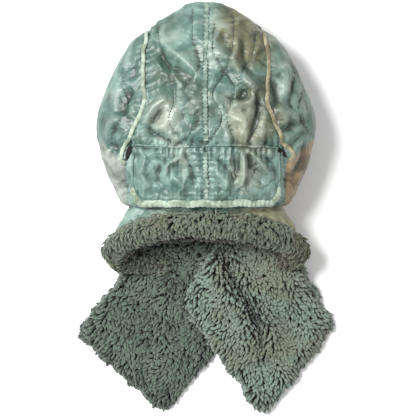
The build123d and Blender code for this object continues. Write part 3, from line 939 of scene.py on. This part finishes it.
class HAT_OT_trims(bpy.types.Operator):
    """Builds the seam tapes, piping, painted slit shadows, waist gathers and stitching"""

    bl_idname = "hat.trims"
    bl_label = "Seams and Trims"

    def execute(self, context):
        self.centre_tape()
        for side, sign in SIDES:
            self.piping(side, sign)
        self.waist()
        self.quilting()
        self.face()
        return {"FINISHED"}

    def centre_tape(self):
        """The tape over the crown's middle seam."""
        y = np.linspace(258, 82, 240)
        x = 1.2 * np.sin(y / 31)
        path, normals = laid("crown", np.stack([x, y], 1), 0.7)
        seam_tape("centre_seam", path, normals, "hat", 4.8)

    def piping(self, side, sign):
        """One side seam's piping, with a near-black patch at its foot that paints the shadow in the slit."""
        seam = even(SEAM[(SEAM[:, 1] < 222) & (SEAM[:, 1] > 84)], 1.0)
        seam = seam[:, :2] * (sign, 1)
        tail = through([tuple(seam[-1] * (sign, 1)), *PIPING_TAIL[side]], 14)[1:] * (sign, 1)
        path = even(np.vstack([seam, tail]), 1.0)
        wobble = 0.9 * waves(path[:, 1], path[:, 0] * 0, 30, 11 + sign)[:, None] * (1, 0)
        place, normals = laid("crown", path + wobble, 0.9)
        points, faces = ribbon(place, normals, 5.6, 3.4, 6.5, 0.14, 2.3)
        name, material = f"side_piping_{side}_cloth", f"binding_{side}"
        tape = mesh_piece(name, points, faces, material, "hat", "binding_tape")
        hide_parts(f"side_piping_{side}")
        # The slit is a near-black patch laid on the cloth: a painted shadow, not an opening.
        line = even(SLIT_LINE[side], 0.8)
        t = np.linspace(0, 1, len(line))
        place, normals = laid("crown", line, 0.5)
        dark, faces = ribbon(place, normals, 6.4, 1.4)
        taper = np.repeat(np.sin(np.pi * np.clip(t, 0.02, 0.98)) ** 0.6, RIBBON_SIDES)[:, None]
        middle = np.repeat(place, RIBBON_SIDES, axis=0)
        points = middle + (dark - middle) * taper
        mesh_piece(f"slit_{side}", points, faces, "slit_dark", "hat", "lining_cloth")

    def waist(self):
        """The stitched line that gathers the waist."""
        x = np.linspace(-91, 91, 260)
        y = WAIST_Y + 1.2 * np.sin(x / 17) + 0.6 * np.sin(x / 5)
        path, normals = laid("crown", np.stack([x, y], 1), 0.2, 5)
        points, faces = ribbon(path, normals, 3.4, 1.8, 4.6, 0.2, 2.0)
        casing = mesh_piece("waist_gathers", points, faces, "nylon", "hat", "nylon_teal")
        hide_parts("waist_casing", "waist_elastic")

    def quilting(self):
        """The stitches along the crown's quilting lines."""
        lots = []
        for path in quilt_paths():
            high = top_z(path[:, 0], path[:, 1]) > CROWN_MIDDLE_Z + 20
            path = even(path[(path[:, 1] > WAIST_Y + 4) & high], 1.0)
            place, normals = laid("crown", path, 0.0, 3)
            lots.append(stitches(place, normals, 3.0, 0.9, 0.8, 0.1))
        mesh_piece("quilt_stitches", *joined(lots), "thread", "hat", "nylon_teal", False)

    def face(self):
        """The tape round the face opening."""
        turn = np.linspace(0, np.pi, 70)
        arch = np.stack([FACE_HALF_WIDTH * np.cos(turn), FACE_ARCH_Y + FACE_HALF_WIDTH * np.sin(turn)], 1)
        right = np.stack([np.full(20, FACE_HALF_WIDTH), np.linspace(28, 53, 20)], 1)
        left = np.stack([np.full(20, -FACE_HALF_WIDTH), np.linspace(53, 28, 20)], 1)
        path = even(np.vstack([right, arch, left]), 1.5)
        low = 2 * CROWN_MIDDLE_Z - top_z(path[:, 0], path[:, 1], 6.0)
        place = np.column_stack([path, np.maximum(low, 6.0) + 1.0])
        back = FACE_ARCH_Y - np.maximum(path[:, 1], FACE_ARCH_Y)
        inward = unit(np.column_stack([-path[:, 0], back, 0 * low + 1e-6]))
        points, faces = ribbon(place, inward, 11.0, 2.2, 6.0, 0.15)
        rim = mesh_piece("face_binding_cloth", points, faces, "binding_left", "hat", "binding_tape")
        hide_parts("face_binding")


class HAT_OT_flap(bpy.types.Operator):
    """Builds the quilted back flap with its binding and seam tape"""

    bl_idname = "hat.flap"
    bl_label = "Back Flap"

    def execute(self, context):
        rows, columns = 46, 120
        y = np.linspace(FLAP_TOP, FLAP_FOOT + 3, rows)
        half = self.half_width(y, 4.0)
        u = np.linspace(-1, 1, columns)
        x = half[:, None] * u[None]
        y = np.broadcast_to(y[:, None], x.shape)
        rim = np.minimum(np.minimum((1 - np.abs(u))[None] * half[:, None], y - FLAP_FOOT - 3), 12) / 12
        top = self.surface(x, y, rim)
        # Painted shading and wear from the top's relief; the underside is set low, so it is painted a little
        # darker.
        wear = np.concatenate([worn(1.3 * (top[..., 2] - top_z(x, y, -4.0))).ravel(), np.full(x.size, 0.3)])
        bottom = np.stack([x, y, top_z(x, y, -1.2)], -1)
        points, faces = closed_pad(top, bottom)
        flap = mesh_piece("flap_quilted", points, faces, "nylon", None, "nylon_teal", wear=wear)
        held = np.concatenate([self.pins(x, y, rim).ravel(), np.ones(rows * columns)])
        cloth = context.scene.hat_cloth
        points = simulated(flap, held, cloth.grow, cloth.pressure, cloth.frames, 4.0)
        set_points(flap, points)
        remember("flap", points, faces)
        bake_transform(flap)
        nodes = [f"flap_{kind}_{side}" for kind in ("panel", "wadding") for side in ("left", "right")]
        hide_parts(*nodes, "flap_backing")
        self.binding()
        self.tape()
        return {"FINISHED"}

    def half_width(self, y, inset):
        """Half the flap's width at a place along it, less an inset."""
        low = np.clip(FLAP_CORNER - (y - FLAP_FOOT), 0, FLAP_CORNER)
        bulge = 1.5 * np.sin((y - FLAP_FOOT) / 22)
        corner = FLAP_CORNER - np.sqrt(np.maximum(FLAP_CORNER**2 - low**2, 0))
        return FLAP_HALF_WIDTH - inset - corner + bulge

    def surface(self, x, y, rim):
        """The flap's outer face: a pad between its seams, gathered at the top, with standing pleats."""
        relief = 2.6 * rim**0.6 + FLAP_FOLD_GAIN * folds(x, y, FLAP_FOLDS)
        waist = FLAP_TOP + 3 - y
        relief += np.sin(2 * np.pi * x / 9 + 2.4 * waves(x, y * 0.3, 40, 41)) * 1.8 * np.exp(-waist / 15)
        relief -= 2.6 * np.exp(-((waist / 6) ** 2))
        centre = np.abs(x)
        relief -= 2.4 * np.exp(-((centre / 5) ** 2))
        pucker = np.sin(2 * np.pi * y / 7 + 2 * waves(y, x * 0, 20, 42))
        relief += pucker * 1.1 * np.exp(-centre / 12) * np.clip(centre / 4, 0, 1)
        foot = y - FLAP_FOOT
        relief += np.sin(2 * np.pi * x / 6.5 + 2 * waves(x, y * 0, 30, 43)) * 1.3 * np.exp(-foot / 13)
        relief += 1.5 * (1 - 1.4 * np.abs(waves(x, y, 42, 44)) ** 0.8) + 0.3 * waves(x, y, 18, 45)
        return np.stack([x, y, top_z(x, y, -4.0) + relief * np.clip(rim * 1.5, 0.35, 1)], -1)

    def pins(self, x, y, rim):
        """1 on the middle seam, the rim and the top edge, less on the quilting, 0 in the middle of a pad."""
        held = np.exp(-((np.abs(x) / 2.4) ** 2)) + (rim < 0.18) + np.exp(-(((FLAP_TOP - y) / 4) ** 2))
        for path in FLAP_QUILT_LINES:
            gap = distance(x, y, through(path, 8))[0]
            held = np.maximum(held, 0.8 * np.exp(-((gap / 2.2) ** 2)))
        return np.round(np.clip(held, 0, 1) * 10) / 10

    def binding(self):
        """The tape folded over the flap's sides and foot, ribbed by its gathers."""
        y = np.linspace(FLAP_TOP - 6, FLAP_FOOT + 0.01, 160)
        right = np.stack([self.half_width(y, 3.2), y], 1)
        path = np.vstack([right, right[::-1] * (-1, 1)])
        path = even(path, 1.2)
        path[:, 1] = np.maximum(path[:, 1], FLAP_FOOT + 4.6)
        path = even(path, 1.2)
        wobble = 0.8 * waves(path[:, 0], path[:, 1], 34, 51)
        path[:, 1] += wobble * (path[:, 1] < 16)
        place, normals = on_top(path, -4.4)
        place[:, 2] += 0.9 * waves(path[:, 0], path[:, 1], 40, 52)
        low = np.clip((30 - path[:, 1]) / 18, 0, 1)
        points, faces = ribbon(place, normals, 9.5, 4.8, 6.4, 0.16, 2.8)
        middle = np.repeat(place, RIBBON_SIDES, axis=0)
        narrow = np.repeat(0.3 + 0.7 * low, RIBBON_SIDES)[:, None]
        points = middle + (points - middle) * narrow
        rim = mesh_piece("flap_binding_cloth", points, faces, "binding_left", "back_flap", "binding_tape")
        rim.data.materials.append(materials()["binding_edge"])
        for face in rim.data.polygons:
            face.material_index = int(face.center.y > 0.024)
        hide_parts("flap_binding")
        tack = np.stack([np.full(14, 12.5), np.linspace(4, -9, 14)], 1)
        place, normals = on_top(tack, -3.4)
        place[:, 2] -= np.linspace(0, 4, 14)
        points, faces = ribbon(place, normals, 1.0, 1.0)
        mesh_piece("flap_thread", points, faces, "binding_left", "back_flap", "binding_tape")

    def tape(self):
        """The tape over the flap's middle seam."""
        y = np.linspace(FLAP_TOP - 6, FLAP_FOOT + 10, 70)
        x = 0.8 * np.sin(y / 12)
        path, normals = laid("flap", np.stack([x, y], 1), 0.7)
        seam_tape("flap_seam", path, normals, "back_flap", 4.6)


def skirt_ring(turn, y, depth):
    """Points of the neck skirt at a turn about Y and a place along it, at a depth."""
    a = np.interp(y, SKIRT_Y, SKIRT_WIDTH) - depth
    b = np.interp(y, SKIRT_Y, SKIRT_HEIGHT) - depth
    c = np.interp(y, SKIRT_Y, SKIRT_MIDDLE)
    return np.stack([a * np.cos(turn), y, c + b * np.sin(turn)], -1)


def hem_edge(turn, depth, up=0.0):
    """Where the hem's slanting line, moved up the hat, meets the skirt at a depth."""
    y = np.full_like(turn, -60.0)
    for _ in range(30):
        y = 0.5 * y + 0.5 * (HEM_Y + up + HEM_LEAN * skirt_ring(turn, y, depth)[..., 2])
    y = y - 9 * np.cos(turn) ** 2 * np.clip(1.2 - np.abs(np.sin(turn)), 0, 1)
    return y - 3 * np.cos(turn) * np.clip(np.sin(turn), 0, 1)


class HAT_OT_skirt(bpy.types.Operator):
    """Builds the neck skirt, its rolled pile hem and the pile inside"""

    bl_idname = "hat.skirt"
    bl_label = "Neck Skirt"

    def execute(self, context):
        for side, sign in SIDES:
            self.cloth(side, sign)
            self.hem(side, sign, context.scene.hat_pile)
        self.lining()
        return {"FINISHED"}

    def turns(self, sign, count, low=-62):
        """Turns about Y from the middle of the back down one side."""
        turn = np.radians(np.linspace(90, low, count))
        return turn if sign > 0 else np.pi - turn

    def cloth(self, side, sign):
        """One side of the skirt's padded nylon."""
        turn = self.turns(sign, 90)[None]
        v = np.linspace(0, 1, 34)[:, None]
        foot = hem_edge(turn[0], 1.0, 26.0)[None]
        y = 22 + (foot - 22) * v
        turn = turn + 0 * v
        base = skirt_ring(turn, y, 1.2)
        outward = unit(np.stack([np.cos(turn), 0 * turn, np.sin(turn)], -1))
        relief = 1.6 * waves(turn * 100, y, 36, 61) + 0.8 * waves(turn * 100, y * 2, 14, 62)
        relief += np.sin(turn * 26 + 2 * waves(turn * 60, y * 0.3, 40, 63)) * 1.2 * v
        top = base + outward * (relief * np.clip(v * 4, 0, 1))[..., None]
        bottom = skirt_ring(turn, y, 4.6)
        points, faces = closed_pad(top, bottom)
        made = mesh_piece(f"skirt_{side}", points, faces, "nylon_skirt", "hat", "nylon_teal")
        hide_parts(f"skirt_panel_{side}", f"skirt_wadding_{side}")

    def hem(self, side, sign, pile):
        """A soft roll round the edge, covered in tufts outside, over the lip and inside."""
        rng = np.random.default_rng(71 + sign)
        turn = self.turns(sign, 130)
        loop = np.linspace(0, 2 * np.pi, HEM_SECTION, endpoint=False)

        def roll(t, around, swell=0.0):
            """A point of the roll, at a turn about Y and round its own section."""
            lump = 1.0 + 0.14 * waves(t * 100, around * 20, 34, 73)
            depth = 3.4 - (6.4 * lump + swell) * np.cos(around)
            up = 19.0 - (10.0 * lump + swell) * np.sin(around)
            y = hem_edge(t, 3.0, 0.0) + up
            return skirt_ring(t, y, depth)

        t, around = np.meshgrid(turn, loop, indexing="ij")
        base = roll(t, around)
        base[..., 2] = np.maximum(base[..., 2], 0.6)
        faces = [list(f) for f in grid_faces(len(turn), len(loop), True)]
        last = (len(turn) - 1) * HEM_SECTION
        faces += [list(range(HEM_SECTION)), list(range(last, last + HEM_SECTION))[::-1]]
        # The roll under the hem's tufts is painted near black, as shade between them.
        pad = mesh_piece(f"hem_base_{side}", base.reshape(-1, 3), faces, "pile_base", "hat", "pile")
        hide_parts(f"hem_fleece_{side}")
        count = HEM_TUFTS
        t = turn[0] + (turn[-1] - turn[0]) * rng.uniform(0, 1, count)
        around = rng.uniform(-0.62 * np.pi, 1.05 * np.pi, count)
        spots = roll(t, around)
        out = unit(roll(t, around, 3.0) - spots)
        along = unit(roll(t, around + 0.12) - spots)
        sideways = unit(np.cross(out, along))
        lean = unit(along * 0.9 + sideways * rng.normal(0, 0.7, count)[:, None] + (0, -0.35, -0.2))
        lean = unit(lean - out * (lean * out).sum(1, keepdims=True))
        lengths = pile.length * rng.uniform(0.9, 1.5, count)
        widths = pile.width * rng.uniform(0.8, 1.3, count)
        points, faces = tufts(spots - out, out, lean, lengths, widths, 5, 4)
        points[:, 2] = np.maximum(points[:, 2], 0.3)
        # The hem's tufts are painted in shade at their roots.
        wear = tuft_shading(count, 4)
        mesh_piece(f"hem_pile_{side}", points, faces, "pile_hem", "hat", "pile", wear=wear)

    def lining(self):
        """The pile inside the crown and the skirt, down to where the hem rolls over it, painted darker as
        shade inside the hollow.
        """
        turn, v = np.meshgrid(np.radians(np.linspace(-58, 238, 150)), np.linspace(0, 1, 40))
        foot = hem_edge(turn[0], 12.0, 8.0)[None]
        y = 22 + (foot - 22) * v
        base = skirt_ring(turn, y, 12.0)
        outward = unit(np.stack([np.cos(turn), 0 * turn, np.sin(turn)], -1))
        base -= outward * (1.2 * waves(turn * 90, y, 9, 81))[..., None]
        faces = grid_faces(*turn.shape)
        skirt = mesh_piece("skirt_lining", base.reshape(-1, 3), faces, "pile_inside", "hat", "pile")
        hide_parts("skirt_lining_left", "skirt_lining_right")
        rng = np.random.default_rng(82)
        count = LINING_TUFTS
        t = np.radians(rng.uniform(-56, 236, count))
        low = hem_edge(t, 12.0, 6.0)
        y = low + (14 - low) * rng.uniform(0, 1, count) ** 1.3
        spots = skirt_ring(t, y, 11.5)
        out = -unit(np.stack([np.cos(t), 0 * t, np.sin(t)], -1))
        lean = unit(np.stack([rng.normal(0, 0.7, count), -np.ones(count), rng.normal(0, 0.7, count)], -1))
        lean = unit(lean - out * (lean * out).sum(1, keepdims=True))
        lengths, widths = rng.uniform(5.5, 8.5, count), rng.uniform(3.4, 5.4, count)
        points, faces = tufts(spots, out, lean, lengths, widths, 5, 4)
        points[:, 2] = np.maximum(points[:, 2], 1.0)
        # The lining's tufts are painted in shade at their roots.
        mesh_piece("skirt_lining_pile", points, faces, "pile_inside", "hat", "pile", wear=tuft_shading(count, 4))
        columns = crown_columns(18, 18, 12)
        base, turn, arc = crown_grid(70, columns, 12.0, 16.0)
        base += grid_normals(base) * (-1.0 * waves(arc, base[..., 1], 9, 83))[..., None]
        faces = grid_faces(*turn.shape)
        place = base.reshape(-1, 3)[faces].mean(1)
        slot = (place[:, 2] < CROWN_MIDDLE_Z - 4) & (np.abs(place[:, 0]) < 60) & (place[:, 1] < 112)
        made = split_off("crown_lining", base.reshape(-1, 3), faces, ~slot, "pile_inside", "hat", "pile")
        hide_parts("lining_centre", "lining_side_left", "lining_side_right")


class HAT_OT_scarf(bpy.types.Operator):
    """Builds the two scarf ends, padded and covered in tufts"""

    bl_idname = "hat.scarf"
    bl_label = "Scarf Ends"

    def execute(self, context):
        pile = context.scene.hat_pile
        self.band("left", LEFT_BAND, LEFT_FOLD, pile, 101)
        self.band("right", RIGHT_BAND, RIGHT_FOLD, pile, 202)
        return {"FINISHED"}

    def floor_z(self, side, x, y):
        """What the band lies on: the hem's lip near the hat, then the table or the other band."""
        ramp = np.clip((-46 - y) / 30, 0, 1)
        if side == "left":
            return 18 * (1 - ramp)
        over = distance(x, y, CROSSING)[0] * np.where(inside(x, y, np.array(PAST_CROSSING)), 1, 0)
        rest = 12.5 * (1 - np.clip((over - 4) / 60, 0, 1))
        return 18 * (1 - ramp) + rest * ramp

    def height(self, side, x, y, outline):
        """The band's upper face: full in the middle, rounded off at its edges, with folds."""
        edge, _ = distance(x, y, outline, True)
        edge = np.where(inside(x, y, outline), edge, 0)
        thick = 9.0 if side == "left" else 12.5
        full = thick * np.sqrt(np.clip(1 - (1 - np.clip(edge / 11, 0, 1)) ** 2, 0, 1))
        z = self.floor_z(side, x, y) + 1.0 + full + 1.5 * waves(x, y, 70, 91) * np.clip(edge / 20, 0, 1)
        if side == "right":
            gap, along = distance(x, y, through(RIGHT_CREASE, 8))
            deep = np.sin(np.pi * np.clip(0.25 + 0.75 * (1 - along), 0, 1) * 0.5)
            z += (-18.0 * np.exp(-((gap / 6.0) ** 2)) + 5.0 * np.exp(-(((gap - 15) / 8) ** 2))) * deep
            z = np.maximum(z, self.floor_z(side, x, y) + 1.5)
        else:
            z += 2.0 * np.exp(-((distance(x, y, [(-100, -120), (-40, -200)])[0] / 22) ** 2))
        return z

    def band(self, side, corners, fold, pile, seed):
        """One scarf end: a pad with pile on its top and round its edge."""
        rng = np.random.default_rng(seed)
        outline = self.rounded(corners)
        low, high = outline.min(0) - 2, outline.max(0) + 2
        pitch = 4.0
        xs, ys = np.arange(low[0], high[0], pitch), np.arange(low[1], high[1], pitch)
        gx, gy = np.meshgrid(xs, ys)
        hit = inside(gx, gy, outline)
        gx, gy = self.snapped(gx, gy, hit, outline, pitch)
        z = self.height(side, gx, gy, outline) - 1.6
        under = self.floor_z(side, gx, gy) + 0.6
        z = np.maximum(z, under + 0.4)
        faces = grid_faces(*gx.shape)
        keep = hit.ravel()[faces].sum(1) >= 3
        top = np.stack([gx, gy, z], -1).reshape(-1, 3)
        bottom = np.stack([gx, gy, under], -1).reshape(-1, 3)
        upper = faces[keep]
        lower = upper[:, ::-1] + len(top)
        edges = {}
        for face in upper:
            for a, b in zip(face, np.roll(face, -1)):
                edges[(a, b)] = True
        rim = [[b, a, a + len(top), b + len(top)] for a, b in edges if (b, a) not in edges]
        points = np.vstack([top, bottom])
        allfaces = [*upper.tolist(), *lower.tolist(), *rim]
        used = np.unique([i for f in allfaces for i in f])
        index = {int(old): new for new, old in enumerate(used)}
        allfaces = [[index[int(i)] for i in f] for f in allfaces]
        # The pad's top is painted near black, as shade between the tufts.
        pad = mesh_piece(f"scarf_{side}_base", points[used], allfaces, "pile_base", None, "pile")
        pad.data.materials.append(materials()["nylon"])
        for face in pad.data.polygons[len(upper) : len(upper) + len(lower)]:
            face.material_index = 1
        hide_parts(f"scarf_root_{side}", f"scarf_end_{side}")
        made = [pad, self.top_pile(side, outline, pile, rng), self.edge_pile(side, outline, pile, rng)]
        for piece in made:
            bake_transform(piece)

    def rounded(self, corners):
        """The outline with its corners softened and a little wander in its sides."""
        pts = np.array(corners, float)
        out = []
        for before, here, after in zip(np.roll(pts, 1, 0), pts, np.roll(pts, -1, 0)):
            a, b = here + unit(before - here) * 12, here + unit(after - here) * 12
            t = np.linspace(0, 1, 6)[:, None]
            out.append((1 - t) ** 2 * a + 2 * t * (1 - t) * here + t**2 * b)
        path = even(np.vstack([*out, out[0][:1]]), 3.0)[:-1]
        way = unit(np.roll(path, -1, 0) - np.roll(path, 1, 0))
        wander = 1.4 * waves(path[:, 0], path[:, 1], 34, 95)
        return path + np.stack([way[:, 1], -way[:, 0]], 1) * wander[:, None]

    def snapped(self, gx, gy, hit, outline, pitch):
        """Grid points just outside the outline, moved on to it."""
        near = ~hit & (distance(gx, gy, outline, True)[0] < pitch * 1.5)
        for index in zip(*np.nonzero(near)):
            k = np.hypot(outline[:, 0] - gx[index], outline[:, 1] - gy[index]).argmin()
            gx[index], gy[index] = outline[k]
        return gx, gy

    def flow(self, side, x, y):
        """Which way the pile is brushed, in plan."""
        angle = -1.9 + 0.9 * waves(x, y, 60, 92) + 0.5 * waves(x, y, 24, 93)
        if side == "right":
            crease = through(RIGHT_CREASE, 8)
            k = distance(x, y, crease)[1]
            at = np.stack([np.interp(k, np.linspace(0, 1, len(crease)), crease[:, j]) for j in (0, 1)], -1)
            away = unit(np.stack([x, y], -1) - at)
            angle = np.where(away[..., 0] < 0, -2.0, -1.2) + 0.6 * waves(x, y, 40, 94)
        return np.stack([np.cos(angle), np.sin(angle)], -1)

    def top_pile(self, side, outline, pile, rng):
        """Tufts over the band's upper face."""
        pitch = pile.spacing
        low, high = outline.min(0), outline.max(0)
        xs, ys = np.meshgrid(np.arange(low[0], high[0], pitch), np.arange(low[1], high[1], pitch * 0.9))
        xs[1::2] += pitch / 2
        x = (xs + rng.uniform(-1.2, 1.2, xs.shape)).ravel()
        y = (ys + rng.uniform(-1.2, 1.2, xs.shape)).ravel()
        keep = inside(x, y, outline)
        x, y = x[keep], y[keep]
        z = self.height(side, x, y, outline)
        dx = (self.height(side, x + 1, y, outline) - self.height(side, x - 1, y, outline)) / 2
        dy = (self.height(side, x, y + 1, outline) - self.height(side, x, y - 1, outline)) / 2
        normal = unit(np.stack([-np.clip(dx, -1.5, 1.5), -np.clip(dy, -1.5, 1.5), np.ones_like(x)], -1))
        edge = distance(x, y, outline, True)[0]
        middle = outline.mean(0)
        outward = unit(np.stack([x, y], -1) - middle)
        brushed = self.flow(side, x, y) + outward * np.exp(-edge / 10)[:, None] * 1.5
        lean = brushed + rng.normal(0, 0.35, (len(x), 2))
        lean = unit(np.column_stack([lean, np.zeros(len(x))]))
        lean = unit(lean - normal * (lean * normal).sum(1, keepdims=True))
        count = len(x)
        long = 1 + 0.35 * np.exp(-edge / 14)
        spots = np.stack([x, y, z - 2.2], -1)
        lengths = pile.length * rng.uniform(0.75, 1.15, count) * long
        widths = pile.width * rng.uniform(0.7, 1.25, count)
        points, faces = tufts(spots, normal, lean, lengths, widths, 5, 5)
        points[:, 2] = np.maximum(points[:, 2], 0.3)
        # The top tufts carry painted shade at their roots, in the crease and beside the other band.
        wear = tuft_shading(count, 5, light=self.light(side, x, y, edge))
        return mesh_piece(f"scarf_{side}_pile", points, faces, f"pile_{side}", None, "pile", wear=wear)

    def light(self, side, x, y, edge):
        """How light the tufts are painted: painted shade along the crease, and a painted shadow on the left
        band beside the right band's edge.
        """
        if side == "right":
            gap = distance(x, y, through(RIGHT_CREASE, 8))[0]
            # Painted shade along the crease, with a little random tone.
            return 1.12 - 0.85 * np.exp(-((gap / 9) ** 2)) + 0.1 * waves(x, y, 50, 96)
        # Painted shadow where the right band's edge lies over the left band.
        over = distance(x, y, RIGHT_BAND, True)[0] * ~inside(x, y, np.array(RIGHT_BAND))
        return 1.05 - 0.55 * np.exp(-over / 6) + 0.14 * waves(x, y, 50, 97)

    def edge_pile(self, side, outline, pile, rng):
        """Tufts that stand out round the band's edge."""
        path = even(np.vstack([outline, outline[:1]]), 2.3)[:-1]
        way = unit(np.roll(path, -1, 0) - np.roll(path, 1, 0))
        turn = np.sign(np.cross(way, np.roll(way, -1, 0)).sum())
        out = np.stack([way[:, 1], -way[:, 0]], 1) * turn
        lots = []
        for level in (0.15, 0.5, 0.85):
            shift = rng.uniform(-1.2, 1.2, (len(path), 2))
            x, y = (path - out * 2.5 + shift).T
            low = self.floor_z(side, x, y)
            z = low + 1.5 + level * 6.5
            normal = unit(np.column_stack([out, np.full(len(x), 0.1 + level * 0.9)]))
            brushed = self.flow(side, x, y) + rng.normal(0, 0.5, (len(x), 2))
            lean = unit(np.column_stack([brushed, np.full(len(x), -0.4)]))
            lean = unit(lean - normal * (lean * normal).sum(1, keepdims=True))
            lengths = pile.length * rng.uniform(0.8, 1.35, len(x))
            widths = pile.width * rng.uniform(0.7, 1.2, len(x))
            lots.append(tufts(np.column_stack([x, y, z]), normal, lean, lengths, widths, 5, 4))
        points, faces = joined(lots)
        points[:, 2] = np.maximum(points[:, 2], 0.3)
        # The edge tufts are painted in shade at their roots.
        wear = tuft_shading(len(points) // 20, 4)
        return mesh_piece(f"scarf_{side}_edge", points, faces, f"pile_{side}", None, "pile", wear=wear)


class HAT_OT_stage(bpy.types.Operator):
    """Sets the pale floor, the soft lights and the camera"""

    bl_idname = "hat.stage"
    bl_label = "Stage"

    def execute(self, context):
        scene = context.scene
        reach = 4000
        corners = [(-reach, -reach, 0), (reach, -reach, 0), (reach, reach, 0), (-reach, reach, 0)]
        floor = mesh_piece("floor", corners, [[0, 1, 2, 3]], "floor_white", None)
        world = bpy.data.worlds.new("Studio")
        world.use_nodes = True
        world.node_tree.nodes["Background"].inputs["Color"].default_value = (1, 1, 1, 1)
        world.node_tree.nodes["Background"].inputs["Strength"].default_value = ROOM_LIGHT
        scene.world = world
        self.lamp("key", **KEY_LIGHT)
        self.lamp("fill", **FILL_LIGHT)
        data = bpy.data.cameras.new("camera")
        data.lens, data.sensor_width = CAMERA_LENS, 36
        camera = bpy.data.objects.new("camera", data)
        camera.location = CAMERA_PLACE
        scene.collection.objects.link(camera)
        scene.camera = camera
        scene.view_settings.view_transform = "Standard"
        return {"FINISHED"}

    def lamp(self, name, place, size, power):
        """A round soft light, aimed at the hat."""
        data = bpy.data.lights.new(name, "AREA")
        data.shape, data.size, data.energy = "DISK", size, power
        light = bpy.data.objects.new(name, data)
        light.location = place
        aim = Vector(LIGHTS_AIM) - Vector(place)
        light.rotation_euler = aim.to_track_quat("-Z", "Y").to_euler()
        bpy.context.scene.collection.objects.link(light)


class HAT_PT_panel(bpy.types.Panel):
    """The sidebar panel that builds the hat step by step"""

    bl_idname = "HAT_PT_panel"
    bl_label = "Trapper Hat"
    bl_space_type = "VIEW_3D"
    bl_region_type = "UI"
    bl_category = "Trapper Hat"

    def draw(self, context):
        for group in (context.scene.hat_cloth, context.scene.hat_pile, context.scene.hat_colours):
            for name in group.__annotations__:
                self.layout.prop(group, name)
        for operator in OPERATORS:
            self.layout.operator(operator.bl_idname)


OPERATORS = (HAT_OT_crown, HAT_OT_trims, HAT_OT_flap, HAT_OT_skirt, HAT_OT_scarf, HAT_OT_stage)
CLASSES = (HatCloth, HatPile, HatColours, *OPERATORS, HAT_PT_panel)


def register():
    for cls in CLASSES:
        bpy.utils.register_class(cls)
    bpy.types.Scene.hat_cloth = bpy.props.PointerProperty(type=HatCloth)
    bpy.types.Scene.hat_pile = bpy.props.PointerProperty(type=HatPile)
    bpy.types.Scene.hat_colours = bpy.props.PointerProperty(type=HatColours)


def unregister():
    del bpy.types.Scene.hat_cloth, bpy.types.Scene.hat_pile, bpy.types.Scene.hat_colours
    for cls in reversed(CLASSES):
        bpy.utils.unregister_class(cls)


def main():
    register()
    bpy.ops.hat.crown()
    bpy.ops.hat.trims()
    bpy.ops.hat.flap()
    bpy.ops.hat.skirt()
    bpy.ops.hat.scarf()
    bpy.ops.hat.stage()


if __name__ == "__main__":
    main()
